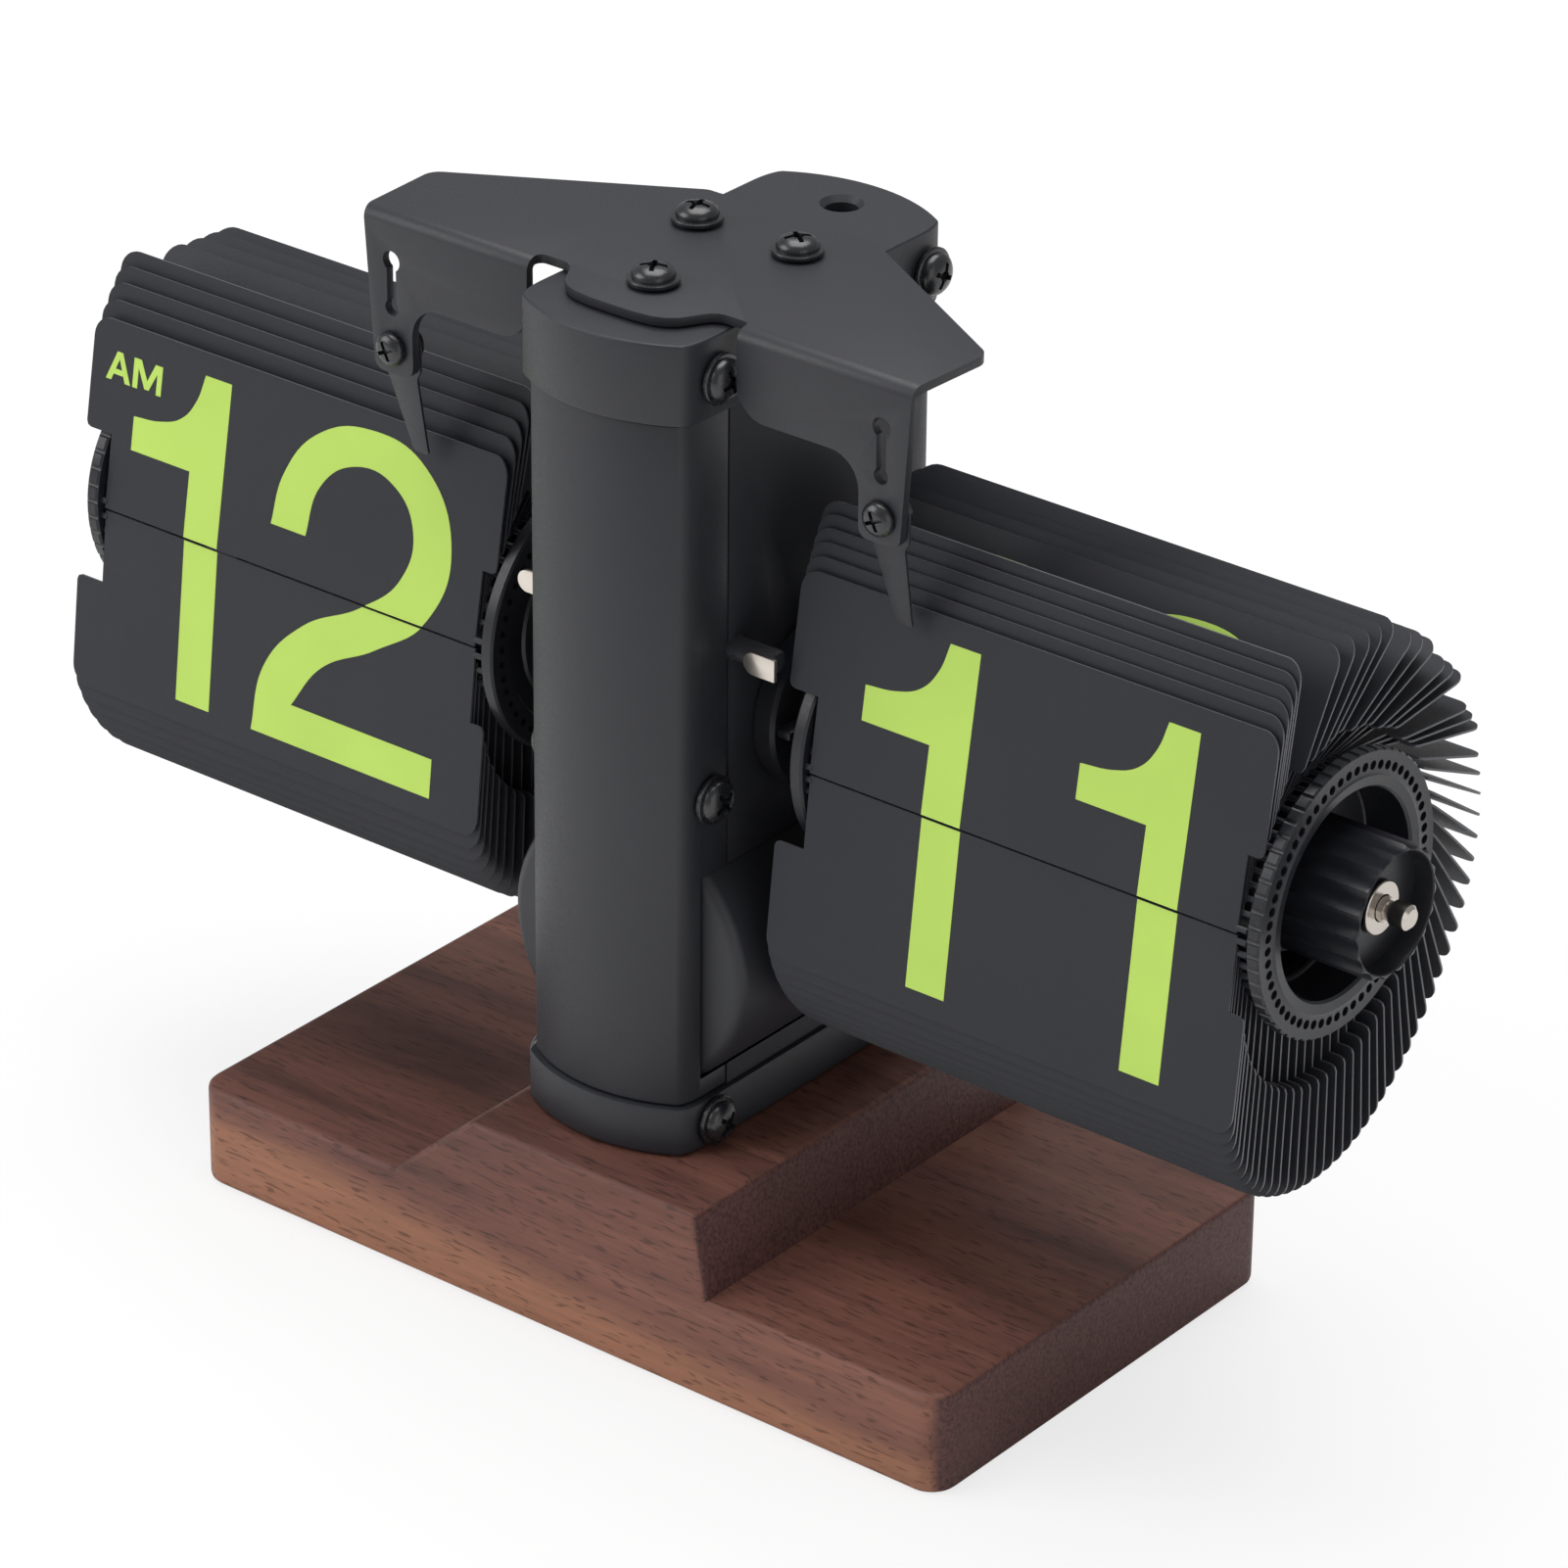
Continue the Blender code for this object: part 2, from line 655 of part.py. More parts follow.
def build_shells():
    sleeve_hole = side_holes((drum_axis_y,), drum_axis_z, hub_sleeve_radius + seat_gap)
    pan_hole = side_holes((front_screw_y,), shell_screw_z, pan_shank_radius + bore_gap)
    rear_room = box_mesh(
        (-column_width, shell_seam_y, 0), (column_width, column_rear_y + column_width, cap_top_z))
    front = cut(shell_ring(shell_floor_z), [rear_room])
    front = cut(front, [tube_cutter(tube_front_y - seat_gap)])
    front = cut(front, pan_hole)
    add_part("front_shell", front, "black plastic")
    front_room = box_mesh(
        (-column_width, column_front_y - column_width, 0), (column_width, shell_seam_y + seat_gap, cap_top_z))
    rear = cut(shell_ring(tube_centre_z), [front_room])
    rear = cut(rear, [tube_cutter(tube_front_y - seat_gap)])
    rear = cut(rear, sleeve_hole)
    posts = []
    for side, axis in ((-1, "-X"), (1, "+X")):
        start = (side * (half_column - column_wall / 2), clip_post_y, clip_post_z)
        length = column_wall / 2 + clip_post_length
        posts.append(rod_mesh(start, axis, clip_post_radius, length, small_sides))
    add_part("rear_shell", fuse(rear, posts), "black plastic")


def build_cap():
    cap = column_prism(cap_proud, shell_top_z, cap_top_z)
    draw_in_end(cap, cap_top_z, cap_top_z - cap_edge_radius, cap_edge_radius)
    hollow = column_prism(cap_proud - cap_wall, shell_top_z - cut_overrun, cap_top_z - cap_wall)
    cap = cut(cap, [hollow])
    holes = side_holes((front_screw_y, rear_screw_y), cap_screw_z, pan_shank_radius + bore_gap)
    holes.append(rod_mesh(
        (0, cap_hole_y, shell_top_z), "+Z", cap_hole_radius, cap_top_z - shell_top_z + cut_overrun, small_sides))
    for x, y in bracket_screw_places().values():
        holes.append(rod_mesh(
            (x, y, shell_top_z), "+Z", pan_shank_radius + bore_gap, cap_top_z - shell_top_z + cut_overrun,
            small_sides))
    add_part("top_cap", cut(cap, holes), "black plastic")


def pan_screw(shank_length):
    """A washer-faced pan screw: its washer rests on the plane z = 0 and its shank points down."""
    under_washer = seat_gap
    rim = under_washer + pan_washer_height
    top = rim + pan_head_height
    shoulder = rim + pan_head_height / 2
    profile = [
        (0, top), (pan_head_radius * crown_radius_share, top), (pan_head_radius, shoulder), (pan_head_radius, rim),
        (pan_washer_radius, rim), (pan_washer_radius, under_washer), (pan_shank_radius, under_washer),
        (pan_shank_radius, -shank_length), (0, -shank_length),
    ]
    return turned_mesh(profile, (0, 0, 0), "+Z", small_sides)


def build_column_screws():
    """Pan screws on both sides of the column."""
    rows = (
        ("cap_front_screw", half_column + cap_proud, front_screw_y, cap_screw_z, cap_wall),
        ("cap_rear_screw", half_column + cap_proud, rear_screw_y, cap_screw_z, cap_wall),
        ("shell_screw", half_column, front_screw_y, shell_screw_z, column_wall),
        ("collar_screw", half_column + collar_proud, front_screw_y, collar_screw_z, pan_shank_length))
    for name, face_x, y, z, shank_length in rows:
        for side, side_name, axis in ((-1, "left_", "-X"), (1, "right_", "+X")):
            place = Matrix.Translation((side * face_x, y, z)) @ along(axis)
            add_part(side_name + name, pan_screw(shank_length), "dark screw", place)


# Battery

def build_battery():
    depth = tube_rear_y - tube_front_y
    inner = tube_radius - tube_wall
    place = (0, tube_front_y, tube_centre_z)
    profile = [
        (inner, depth), (tube_radius, depth), (tube_radius, 0), (0, 0), (0, tube_wall), (inner, tube_wall)]
    cup = turned_mesh(profile_with_axis(profile), place, "+Y", fine_sides)
    add_part("battery_tube", cup, "black plastic")
    start = tube_front_y + tube_wall + seat_gap
    add_part("front_contact", rod_mesh(
        (0, start, tube_centre_z), "+Y", contact_radius, contact_thickness), "brass")
    body_start = cell_nub_length
    cell_profile = [
        (0, body_start + cell_length), (cell_radius, body_start + cell_length), (cell_radius, body_start),
        (cell_nub_radius, body_start), (cell_nub_radius, 0), (0, 0)]
    cell = turned_mesh(cell_profile, (0, cell_front_y, tube_centre_z), "+Y")
    add_part("battery_cell", cell, "cell wrap")
    lid_axis = (0, tube_rear_y, tube_centre_z)
    plug_radius = inner - seat_gap
    lid_profile = [
        (0, seat_gap + lid_thickness), (tube_radius, seat_gap + lid_thickness), (tube_radius, seat_gap),
        (plug_radius, seat_gap), (plug_radius, seat_gap - lid_plug_depth), (0, seat_gap - lid_plug_depth)]
    lid = turned_mesh(lid_profile, (0, 0, 0), "+Y", fine_sides)
    outer_y = seat_gap + lid_thickness
    slot = box_mesh(
        (-lid_slot_length / 2, outer_y - lid_slot_depth, -lid_slot_width / 2),
        (lid_slot_length / 2, outer_y + cut_overrun, lid_slot_width / 2))
    add_part("battery_lid", cut(lid, [slot]), "black plastic", Matrix.Translation(lid_axis))
    contact_start = (0, -lid_plug_depth, 0)
    lid_contact = rod_mesh(contact_start, "-Y", contact_radius, contact_thickness)
    add_part("lid_contact", lid_contact, "brass", Matrix.Translation(lid_axis))


def profile_with_axis(profile):
    """Orders a cup's profile so that it starts and ends on the axis."""
    split = [i for i, point in enumerate(profile) if point[0] == 0]
    return profile[split[1]:] + profile[:split[0] + 1]


# Gears

def gear_outline(teeth, module, phase_degrees):
    """A gear's outline with slim straight-sided teeth. A tooth is centred on the phase angle."""
    pitch_radius = teeth * module / 2
    tip_radius = pitch_radius + tooth_tip_share * module
    root_radius = pitch_radius - tooth_root_share * module
    pitch_degrees = 360.0 / teeth
    points = []
    for i in range(teeth):
        middle = phase_degrees + i * pitch_degrees
        for radius, share in (
                (root_radius, -tooth_half_root_share), (tip_radius, -tooth_half_tip_share),
                (tip_radius, tooth_half_tip_share), (root_radius, tooth_half_root_share)):
            angle = math.radians(middle + share * pitch_degrees)
            points.append((radius * math.cos(angle), radius * math.sin(angle)))
    return points


def gear_module(teeth, mate_teeth):
    return 2 * gear_centre_distance / (teeth + mate_teeth)


def gear_mesh(teeth, module, phase_degrees, middle_x):
    """A gear in the YZ plane about the X axis through the origin."""
    outline = gear_outline(teeth, module, phase_degrees)
    return plate_mesh([outline], gear_thickness, Matrix.Translation((middle_x, 0, 0)) @ side_plane)


# In the YZ plane the idler sits straight above the drum axis and the motor above the idler, at 90 degrees from +Y
up_degrees = 90.0
down_degrees = -90.0


def facing_gap(teeth, degrees):
    """The phase that puts the middle of a tooth gap at an angle."""
    return degrees + 180.0 / teeth


def hollow_sleeve(start_x, length, radius, bore_radius):
    profile = [(bore_radius, length), (radius, length), (radius, 0), (bore_radius, 0)]
    return turned_mesh(profile, (start_x, 0, 0), "+X", round_sides)


def build_gears():
    first_module = gear_module(minute_pinion_teeth, idler_wheel_teeth)
    second_module = gear_module(idler_pinion_teeth, hour_wheel_teeth)
    overlap = gear_thickness / 4
    sleeve_start = gear_plane_x + gear_thickness / 2 - overlap
    # Minute hub: a pinion on a sleeve that reaches the drum
    bore = rod_mesh((-column_width, 0, 0), "+X", shaft_bore_radius, 2 * drum_length)
    pinion = gear_mesh(minute_pinion_teeth, first_module, up_degrees, gear_plane_x)
    neck_radius = minute_pinion_teeth * first_module / 2 - tooth_root_share * first_module
    neck = rod_mesh((sleeve_start, 0, 0), "+X", neck_radius, 3 * overlap)
    sleeve_end = minute_drum_near_x - seat_gap
    collar_start = sleeve_start + 2 * overlap
    sleeve = rod_mesh((collar_start, 0, 0), "+X", hub_sleeve_radius, sleeve_end - collar_start)
    hub = cut(fuse(pinion, [neck, sleeve]), [bore])
    add_part("minute_hub_gear", hub, "white plastic", Matrix.Translation(drum_axis))
    # Hour hub: a wheel on a sleeve that reaches the other drum
    wheel = gear_mesh(hour_wheel_teeth, second_module, up_degrees, -gear_plane_x)
    hour_sleeve_end = hour_drum_near_x + seat_gap
    hour_sleeve = rod_mesh(
        (-sleeve_start, 0, 0), "-X", hub_sleeve_radius, -sleeve_start - hour_sleeve_end)
    hour_bore = rod_mesh((0, 0, 0), "-X", shaft_bore_radius, drum_length)
    hour_hub = cut(fuse(wheel, [hour_sleeve]), [hour_bore])
    add_part("hour_hub_gear", hour_hub, "white plastic", Matrix.Translation(drum_axis))
    # Idler: a wheel and a pinion on one arbor through the centre plate
    idler_wheel = gear_mesh(
        idler_wheel_teeth, first_module, facing_gap(idler_wheel_teeth, down_degrees), gear_plane_x)
    idler_pinion = gear_mesh(
        idler_pinion_teeth, second_module, facing_gap(idler_pinion_teeth, down_degrees), -gear_plane_x)
    arbor_end = gear_plane_x + gear_thickness
    arbor = rod_mesh((-arbor_end, 0, 0), "+X", arbor_radius, 2 * arbor_end, small_sides)
    idler = fuse(fuse(arbor, [idler_wheel]), [idler_pinion])
    add_part("idler_gear", idler, "white plastic", Matrix.Translation((0, drum_axis_y, idler_z)))
    # Motor pinion: its tooth gap faces a tooth of the idler wheel
    idler_phase = facing_gap(idler_wheel_teeth, down_degrees)
    tooth_step = 360.0 / idler_wheel_teeth
    nearest = idler_phase + tooth_step * round((up_degrees - idler_phase) / tooth_step)
    lag = (nearest - up_degrees) * idler_wheel_teeth / motor_pinion_teeth
    motor_phase = facing_gap(motor_pinion_teeth, down_degrees) - lag
    motor_pinion = gear_mesh(motor_pinion_teeth, first_module, motor_phase, gear_plane_x)
    arbor_start = centre_plate_thickness / 2 - gear_thickness / 2
    motor_arbor = rod_mesh((arbor_start, 0, 0), "+X", arbor_radius, gear_plane_x - arbor_start, small_sides)
    add_part("motor_pinion", fuse(motor_pinion, [motor_arbor]), "brass",
             Matrix.Translation((0, drum_axis_y, motor_z)))


# Movement frame

def pillar_places():
    """The (y, z) places of the pillars: the lower front ones take the shell's side screws."""
    return [
        (front_screw_y, shell_screw_z), (-front_screw_y, shell_screw_z),
        (front_screw_y, pillar_top_z), (-front_screw_y, pillar_top_z)]


def build_movement():
    half_plate = centre_plate_thickness / 2
    edge = -front_screw_y + centre_plate_margin
    plate = box_mesh((-half_plate, -edge, centre_plate_bottom_z), (half_plate, edge, centre_plate_top_z))
    holes = []
    for z, radius in (
            (drum_axis_z, shaft_radius + bore_gap), (idler_z, arbor_radius + seat_gap),
            (motor_z, arbor_radius + seat_gap)):
        start = (-centre_plate_thickness, drum_axis_y, z)
        holes.append(rod_mesh(start, "+X", radius, 2 * centre_plate_thickness, round_sides))
    reach = half_column - column_wall - seat_gap
    start_x = half_plate + seat_gap
    pillars = [rod_mesh((-reach, y, z), "+X", pillar_radius, 2 * reach, small_sides) for y, z in pillar_places()]
    add_part("centre_plate", cut(fuse(plate, pillars), holes), "bright steel")
    motor = rod_mesh(
        (-start_x, drum_axis_y, motor_z), "-X", motor_radius, reach - start_x)
    motor = cut(motor, [rod_mesh(
        (-start_x - gear_thickness, drum_axis_y, motor_z), "+X", arbor_radius + seat_gap,
        gear_thickness + cut_overrun, small_sides)])
    add_part("gear_motor", motor, "bright steel")
    board_half = -front_screw_y + pillar_radius
    board = box_mesh(
        (board_x - board_thickness / 2, -board_half, pillar_top_z - board_height / 2),
        (board_x + board_thickness / 2, board_half, pillar_top_z + board_height / 2))
    board = cut(board, [
        rod_mesh((0, y, pillar_top_z), "+X", pillar_radius + seat_gap, column_width, small_sides)
        for y in (front_screw_y, -front_screw_y)])
    add_part("driver_board", board, "board")
    wire_bottom_z = tube_centre_z + math.sqrt((tube_radius + seat_gap) ** 2 - (board_x - wire_radius) ** 2)
    wire_top_z = pillar_top_z - board_height / 2 - seat_gap
    for name, y in (("front_wire", -wire_y), ("rear_wire", wire_y)):
        wire = rod_mesh((0, 0, 0), "+Z", wire_radius, wire_top_z - wire_bottom_z, wire_sides)
        add_part(name, wire, "wire", Matrix.Translation((board_x, y, wire_bottom_z)))


def build_shaft_and_bearings():
    shaft = rod_mesh((shaft_left_x, 0, 0), "+X", shaft_radius, shaft_right_x - shaft_left_x)
    add_part("main_shaft", shaft, "bright steel", Matrix.Translation(drum_axis))
    for side, name in ((-1, "left_bearing_boss"), (1, "right_bearing_boss")):
        start = seat_gap
        flange_end = start + boss_flange_thickness
        neck_end = start + boss_neck_length
        profile = [
            (sleeve_bore_radius, neck_end), (boss_neck_radius, neck_end), (boss_neck_radius, flange_end),
            (boss_radius, flange_end), (boss_radius, start), (sleeve_bore_radius, start)]
        place = (side * half_column, drum_axis_y, drum_axis_z)
        add_part(name, turned_mesh(profile, place, "+X" if side > 0 else "-X"), "black plastic")
    washer_x = knob_rim_x - knob_recess_depth + seat_gap
    right = hollow_sleeve(washer_x, clip_washer_thickness, clip_washer_radius, shaft_radius + bore_gap)
    left_x = drum_near_x["hour"] + flange_recess_depth - seat_gap - clip_washer_thickness
    left = hollow_sleeve(left_x, clip_washer_thickness, clip_washer_radius, shaft_radius + bore_gap)
    add_part("right_shaft_clip", right, "bright steel", Matrix.Translation(drum_axis))
    add_part("left_shaft_clip", left, "bright steel", Matrix.Translation(drum_axis))


# Drums

def flange_disc(flange_radius, bore_radius):
    """The flange on the column's side: a plain disc with a bore, its outer face at z = 0 and its body below."""
    profile = [
        (bore_radius, 0), (flange_radius, 0), (flange_radius, -flange_thickness), (bore_radius, -flange_thickness)]
    return turned_mesh(profile, (0, 0, 0), "+Z", fine_sides)


def dished_flange(flange_radius, bore_radius):
    """The outer flange: a rim with a deep dish, whose floor has two half-moon windows."""
    wall = flange_floor_thickness
    floor = -flange_recess_depth
    profile = [
        (bore_radius, floor), (flange_recess_radius, floor), (flange_recess_radius, 0), (flange_radius, 0),
        (flange_radius, -flange_thickness), (flange_recess_radius + wall, -flange_thickness),
        (flange_recess_radius + wall, floor - wall), (bore_radius, floor - wall)]
    disc = turned_mesh(profile, (0, 0, 0), "+Z", fine_sides)
    half = flange_window_width / 2
    windows = []
    outer_reach, inner_reach = flange_window_outer_degrees, flange_window_inner_degrees
    for middle in (0.0, 180.0):
        outer = arc((0, 0), flange_window_radius + half, middle - outer_reach, middle + outer_reach, 8)
        inner = arc((0, 0), flange_window_radius - half, middle + inner_reach, middle - inner_reach, 6)
        depth = Matrix.Translation((0, 0, floor - wall / 2))
        windows.append(plate_mesh([outer + inner], wall + 2 * cut_overrun, depth))
    return cut(disc, windows)


def drum_ends(kind):
    """The drum's end beside the column, its free end and the direction from one to the other."""
    near = drum_near_x[kind]
    far = near + drum_length
    return (near, far, 1) if kind == "minute" else (far, near, -1)


def core_span(kind):
    """The clear length between the flange beside the column and the dish at the free end."""
    inner_end, outer_end, outward = drum_ends(kind)
    start = inner_end + outward * (flange_thickness + seat_gap)
    end = outer_end - outward * (flange_recess_depth + flange_floor_thickness + seat_gap)
    return start, end


def build_drum(kind):
    """One drum: the flange beside the column, the dished flange at its free end and the core between them."""
    inner_end, outer_end, outward = drum_ends(kind)
    axis = "+X" if outward > 0 else "-X"
    inward_axis = "-X" if outward > 0 else "+X"
    home = Matrix.Translation(drum_axis)
    radii = (left_flange_radius, right_flange_radius)
    inner_radius, outer_radius = radii if kind == "minute" else radii[::-1]
    disc = moved_mesh(
        flange_disc(inner_radius, shaft_bore_radius),
        Matrix.Translation((inner_end, 0, 0)) @ along(inward_axis))
    add_part(kind + "_inner_flange", disc, "black plastic", home)
    dish = moved_mesh(
        dished_flange(outer_radius, shaft_bore_radius), Matrix.Translation((outer_end, 0, 0)) @ along(axis))
    add_part(kind + "_outer_flange", dish, "black plastic", home)
    core_start, core_end = core_span(kind)
    core = hollow_sleeve(min(core_start, core_end), abs(core_end - core_start), core_radius, core_radius - core_wall)
    add_part(kind + "_core", core, "black plastic", home)


def build_knob():
    start_x = drum_near_x["minute"] + drum_length - flange_recess_depth + seat_gap
    outline = []
    for i in range(2 * knob_flute_count):
        radius = knob_radius - (knob_flute_depth if i % 2 else 0.0)
        angle = math.radians(i * 180.0 / knob_flute_count)
        outline.append((radius * math.cos(angle), radius * math.sin(angle)))
    bore = circle((0, 0), shaft_bore_radius, round_sides)
    length = knob_rim_x - start_x
    knob = plate_mesh([outline, bore], length, Matrix.Translation((start_x + length / 2, 0, 0)) @ side_plane)
    recess = rod_mesh(
        (knob_rim_x - knob_recess_depth, 0, 0), "+X", knob_recess_radius, knob_recess_depth + cut_overrun)
    add_part("setting_knob", cut(knob, [recess]), "black plastic", Matrix.Translation(drum_axis))


# Flap cards

def value_at(place, places, values):
    """The value at a place between the listed ones, and the end's value beyond them."""
    for i in range(len(places) - 1):
        if places[i] <= place <= places[i + 1]:
            share = (place - places[i]) / (places[i + 1] - places[i])
            return values[i] + share * (values[i + 1] - values[i])
    return values[0] if place < places[0] else values[-1]


def card_mesh(kind):
    """A card along +Y from its pins on the X axis, notched beside the flanges, its left edge at x = 0."""
    step = math.radians(pin_angle_step[kind])
    tail = pin_circle_radius * math.sin(step / 2) - card_split_gap / 2
    top = card_height - tail
    left_notch = card_overhang + flange_thickness + 2 * seat_gap
    right_root = card_width - card_right_notch
    outline = [
        (left_notch, -tail), (right_root, -tail),
        (right_root, card_notch_height + card_notch_slant), (card_width, card_notch_height),
        (card_width, top - card_corner), (card_width - card_corner, top),
        (card_corner, top), (0, top - card_corner),
        (0, card_notch_height), (left_notch, card_notch_height + card_notch_slant)]
    return plate_mesh([outline], card_thickness, flat_plane)


def card_places(kind):
    """For each card: its pin angle in degrees and the matrix that puts it there, from the drum axis."""
    count = minute_flap_count if kind == "minute" else hour_flap_count
    step = pin_angle_step[kind]
    places = []
    for i in range(count):
        pin_degrees = 180.0 - step / 2 - i * step
        angle = math.radians(pin_degrees)
        y = pin_circle_radius * math.cos(angle)
        z = pin_circle_radius * math.sin(angle)
        if z > 0:
            y += value_at(pin_degrees, fan_shift_pin_degrees, fan_shift)
        lean = value_at(pin_degrees, fan_pin_degrees[kind], fan_lean_degrees[kind])
        turn = Matrix.Rotation(math.radians(lean), 4, "X")
        left_x = drum_near_x[kind] - card_overhang
        places.append((pin_degrees, Matrix.Translation((left_x, y, z)) @ turn))
    return places


def band_mesh(kind, roots):
    """The strip through the roots of a group of cards, which holds them as one piece."""
    outer = []
    inner = []
    for root in roots:
        away = Vector((root.y, root.z)).normalized()
        middle = Vector((root.y, root.z))
        outer.append(middle + away * card_thickness / 2)
        inner.append(middle - away * pin_band_depth)
    start_x, end_x = core_span(kind)
    length = abs(end_x - start_x)
    middle_x = (start_x + end_x) / 2
    outline = [tuple(point) for point in outer + inner[::-1]]
    return plate_mesh([outline], length, Matrix.Translation((middle_x, 0, 0)) @ side_plane)


def build_flaps(kind):
    card = card_mesh(kind)
    groups = {"flaps_upper": [], "flaps_rear": [], "flaps_lower": []}
    places = card_places(kind)
    home = Matrix.Translation(drum_axis)
    for pin_degrees, place in places[1:]:
        if pin_degrees > fan_top_end_degrees:
            group = "flaps_upper"
        elif pin_degrees > fan_rear_end_degrees:
            group = "flaps_rear"
        else:
            group = "flaps_lower"
        groups[group].append(place)
    for group, members in groups.items():
        band = band_mesh(kind, [place.translation for place in members])
        fan = fuse(band, [moved_mesh(card, place) for place in members])
        add_part(kind + "_" + group, fan, "card", home)
    front = places[0][1]
    pin_place = Matrix.Translation(drum_axis + front.translation)
    lean = front.to_3x3().to_4x4()
    add_part(kind + "_front_flap", moved_mesh(card, lean), "card", pin_place)


# Top bracket and fingers

def mirrored(points):
    """The outline's right half followed by its mirror image."""
    return points + [(-x, y) for x, y in reversed(points)]


def bracket_screw_places():
    return {
        "left": (-bracket_screw_x, bracket_screw_rear_y), "right": (bracket_screw_x, bracket_screw_rear_y),
        "front": (0, bracket_screw_front_y)}


def build_bracket():
    inner_front_y = bracket_front_y + sheet_thickness
    right_half = [
        (tongue_half_width - tongue_corner, tongue_front_y), (tongue_half_width, tongue_front_y + tongue_corner),
        (tongue_half_width, bracket_notch_y), (bracket_notch_x, bracket_notch_y),
        (bracket_notch_x, bracket_front_y), (bracket_half_width, bracket_front_y),
        (bracket_half_width, bracket_corner_y), (bracket_side_x, bracket_side_y),
        (bracket_rear_half_width, bracket_rear_y)]
    middle_z = bracket_bottom_z + sheet_thickness / 2
    places = bracket_screw_places()
    holes = [circle(place, pan_shank_radius + seat_gap, small_sides) for place in places.values()]
    bracket = plate_mesh(
        [mirrored(right_half), *holes], sheet_thickness, Matrix.Translation((0, 0, middle_z)))
    arch_centre = (ear_inner_x - flange_arch_radius, flange_bottom_z - flange_arch_radius)
    corner_centre = (bracket_notch_x + flange_inner_corner, flange_bottom_z + flange_inner_corner)
    ear = [
        (bracket_notch_x, bracket_top_z - sheet_thickness / 4),
        *arc(corner_centre, flange_inner_corner, 180.0, 270.0, 4),
        *arc(arch_centre, flange_arch_radius, 90.0, 0.0, 4),
        (ear_inner_x, ear_bottom_z + ear_corner), (ear_inner_x + ear_corner, ear_bottom_z),
        (ear_outer_x - ear_corner, ear_bottom_z), (ear_outer_x, ear_bottom_z + ear_corner),
        (bracket_half_width, bracket_top_z - sheet_thickness / 4)]
    keyhole = (
        arc((ear_screw_x, keyhole_top_z), keyhole_radius, 0.0, 180.0, 5)
        + arc((ear_screw_x, keyhole_bottom_z), keyhole_radius, 180.0, 360.0, 5))
    screw_hole = circle((ear_screw_x, ear_screw_z), finger_shank_radius + seat_gap, small_sides)
    ear_middle = Matrix.Translation((0, (bracket_front_y + inner_front_y) / 2, 0)) @ front_plane
    for side in (1, -1):
        outlines = [[(side * x, z) for x, z in line] for line in (ear, keyhole, screw_hole)]
        bracket = fuse(bracket, [plate_mesh(outlines, sheet_thickness, ear_middle)])
    bend_z = bracket_top_z

    def is_bend(edge):
        first, second = (vert.co for vert in edge.verts)
        top = abs(first.z - bend_z) < weld_distance and abs(second.z - bend_z) < weld_distance
        front = abs(first.y - bracket_front_y) < weld_distance and abs(second.y - bracket_front_y) < weld_distance
        return top and front and abs(first.x - second.x) > bracket_notch_x / 2

    bevel_mesh(bracket, is_bend, sheet_thickness * sheet_bend_share, 3)
    add_part("top_bracket", bracket, "black sheet")
    for name, (x, y) in places.items():
        add_part("bracket_screw_" + name, pan_screw(bracket_screw_length), "dark screw",
                 Matrix.Translation((x, y, bracket_top_z)))


def build_fingers():
    """The detent fingers: strips behind the ears, bent back to lie just in front of the top cards."""
    ear_back_y = bracket_front_y + sheet_thickness
    half_root = finger_root_width / 2
    half_tip = finger_tip_width / 2
    outline = [
        *arc((0, ear_screw_z), half_root, 0.0, 180.0, 6),
        (-half_root, ear_bottom_z), (-half_tip, finger_tip_z + half_tip),
        *arc((0, finger_tip_z + half_tip), half_tip, 180.0, 360.0, 4),
        (half_tip, finger_tip_z + half_tip), (half_root, ear_bottom_z)]
    outline = [point for i, point in enumerate(outline) if point not in outline[:i]]
    hole = circle((0, ear_screw_z), finger_shank_radius + seat_gap, small_sides)
    middle_y = ear_back_y + seat_gap + finger_thickness / 2
    strip = plate_mesh([outline, hole], finger_thickness, Matrix.Translation((0, middle_y, 0)) @ front_plane)
    bend_z = ear_bottom_z
    slope = finger_tip_set_back / (bend_z - finger_tip_z)
    for vert in strip.vertices:
        if vert.co.z < bend_z:
            vert.co.y += (bend_z - vert.co.z) * slope
    back_y = ear_back_y + seat_gap + finger_thickness
    for side, name in ((-1, "left"), (1, "right")):
        add_part(name + "_detent_finger", strip.copy(), "black sheet", Matrix.Translation((side * ear_screw_x, 0, 0)))
        reach = back_y - bracket_front_y + seat_gap
        head_top = seat_gap + finger_screw_height
        profile = [
            (0, head_top), (finger_screw_radius * crown_radius_share, head_top), (finger_screw_radius, head_top / 2),
            (finger_screw_radius, seat_gap), (finger_shank_radius, seat_gap), (finger_shank_radius, -reach),
            (finger_screw_radius, -reach), (finger_screw_radius, -reach - finger_nut_height),
            (0, -reach - finger_nut_height)]
        screw = turned_mesh(profile, (0, 0, 0), "-Y", small_sides)
        add_part(name + "_finger_screw", screw, "dark screw",
                 Matrix.Translation((side * ear_screw_x, bracket_front_y, ear_screw_z)))


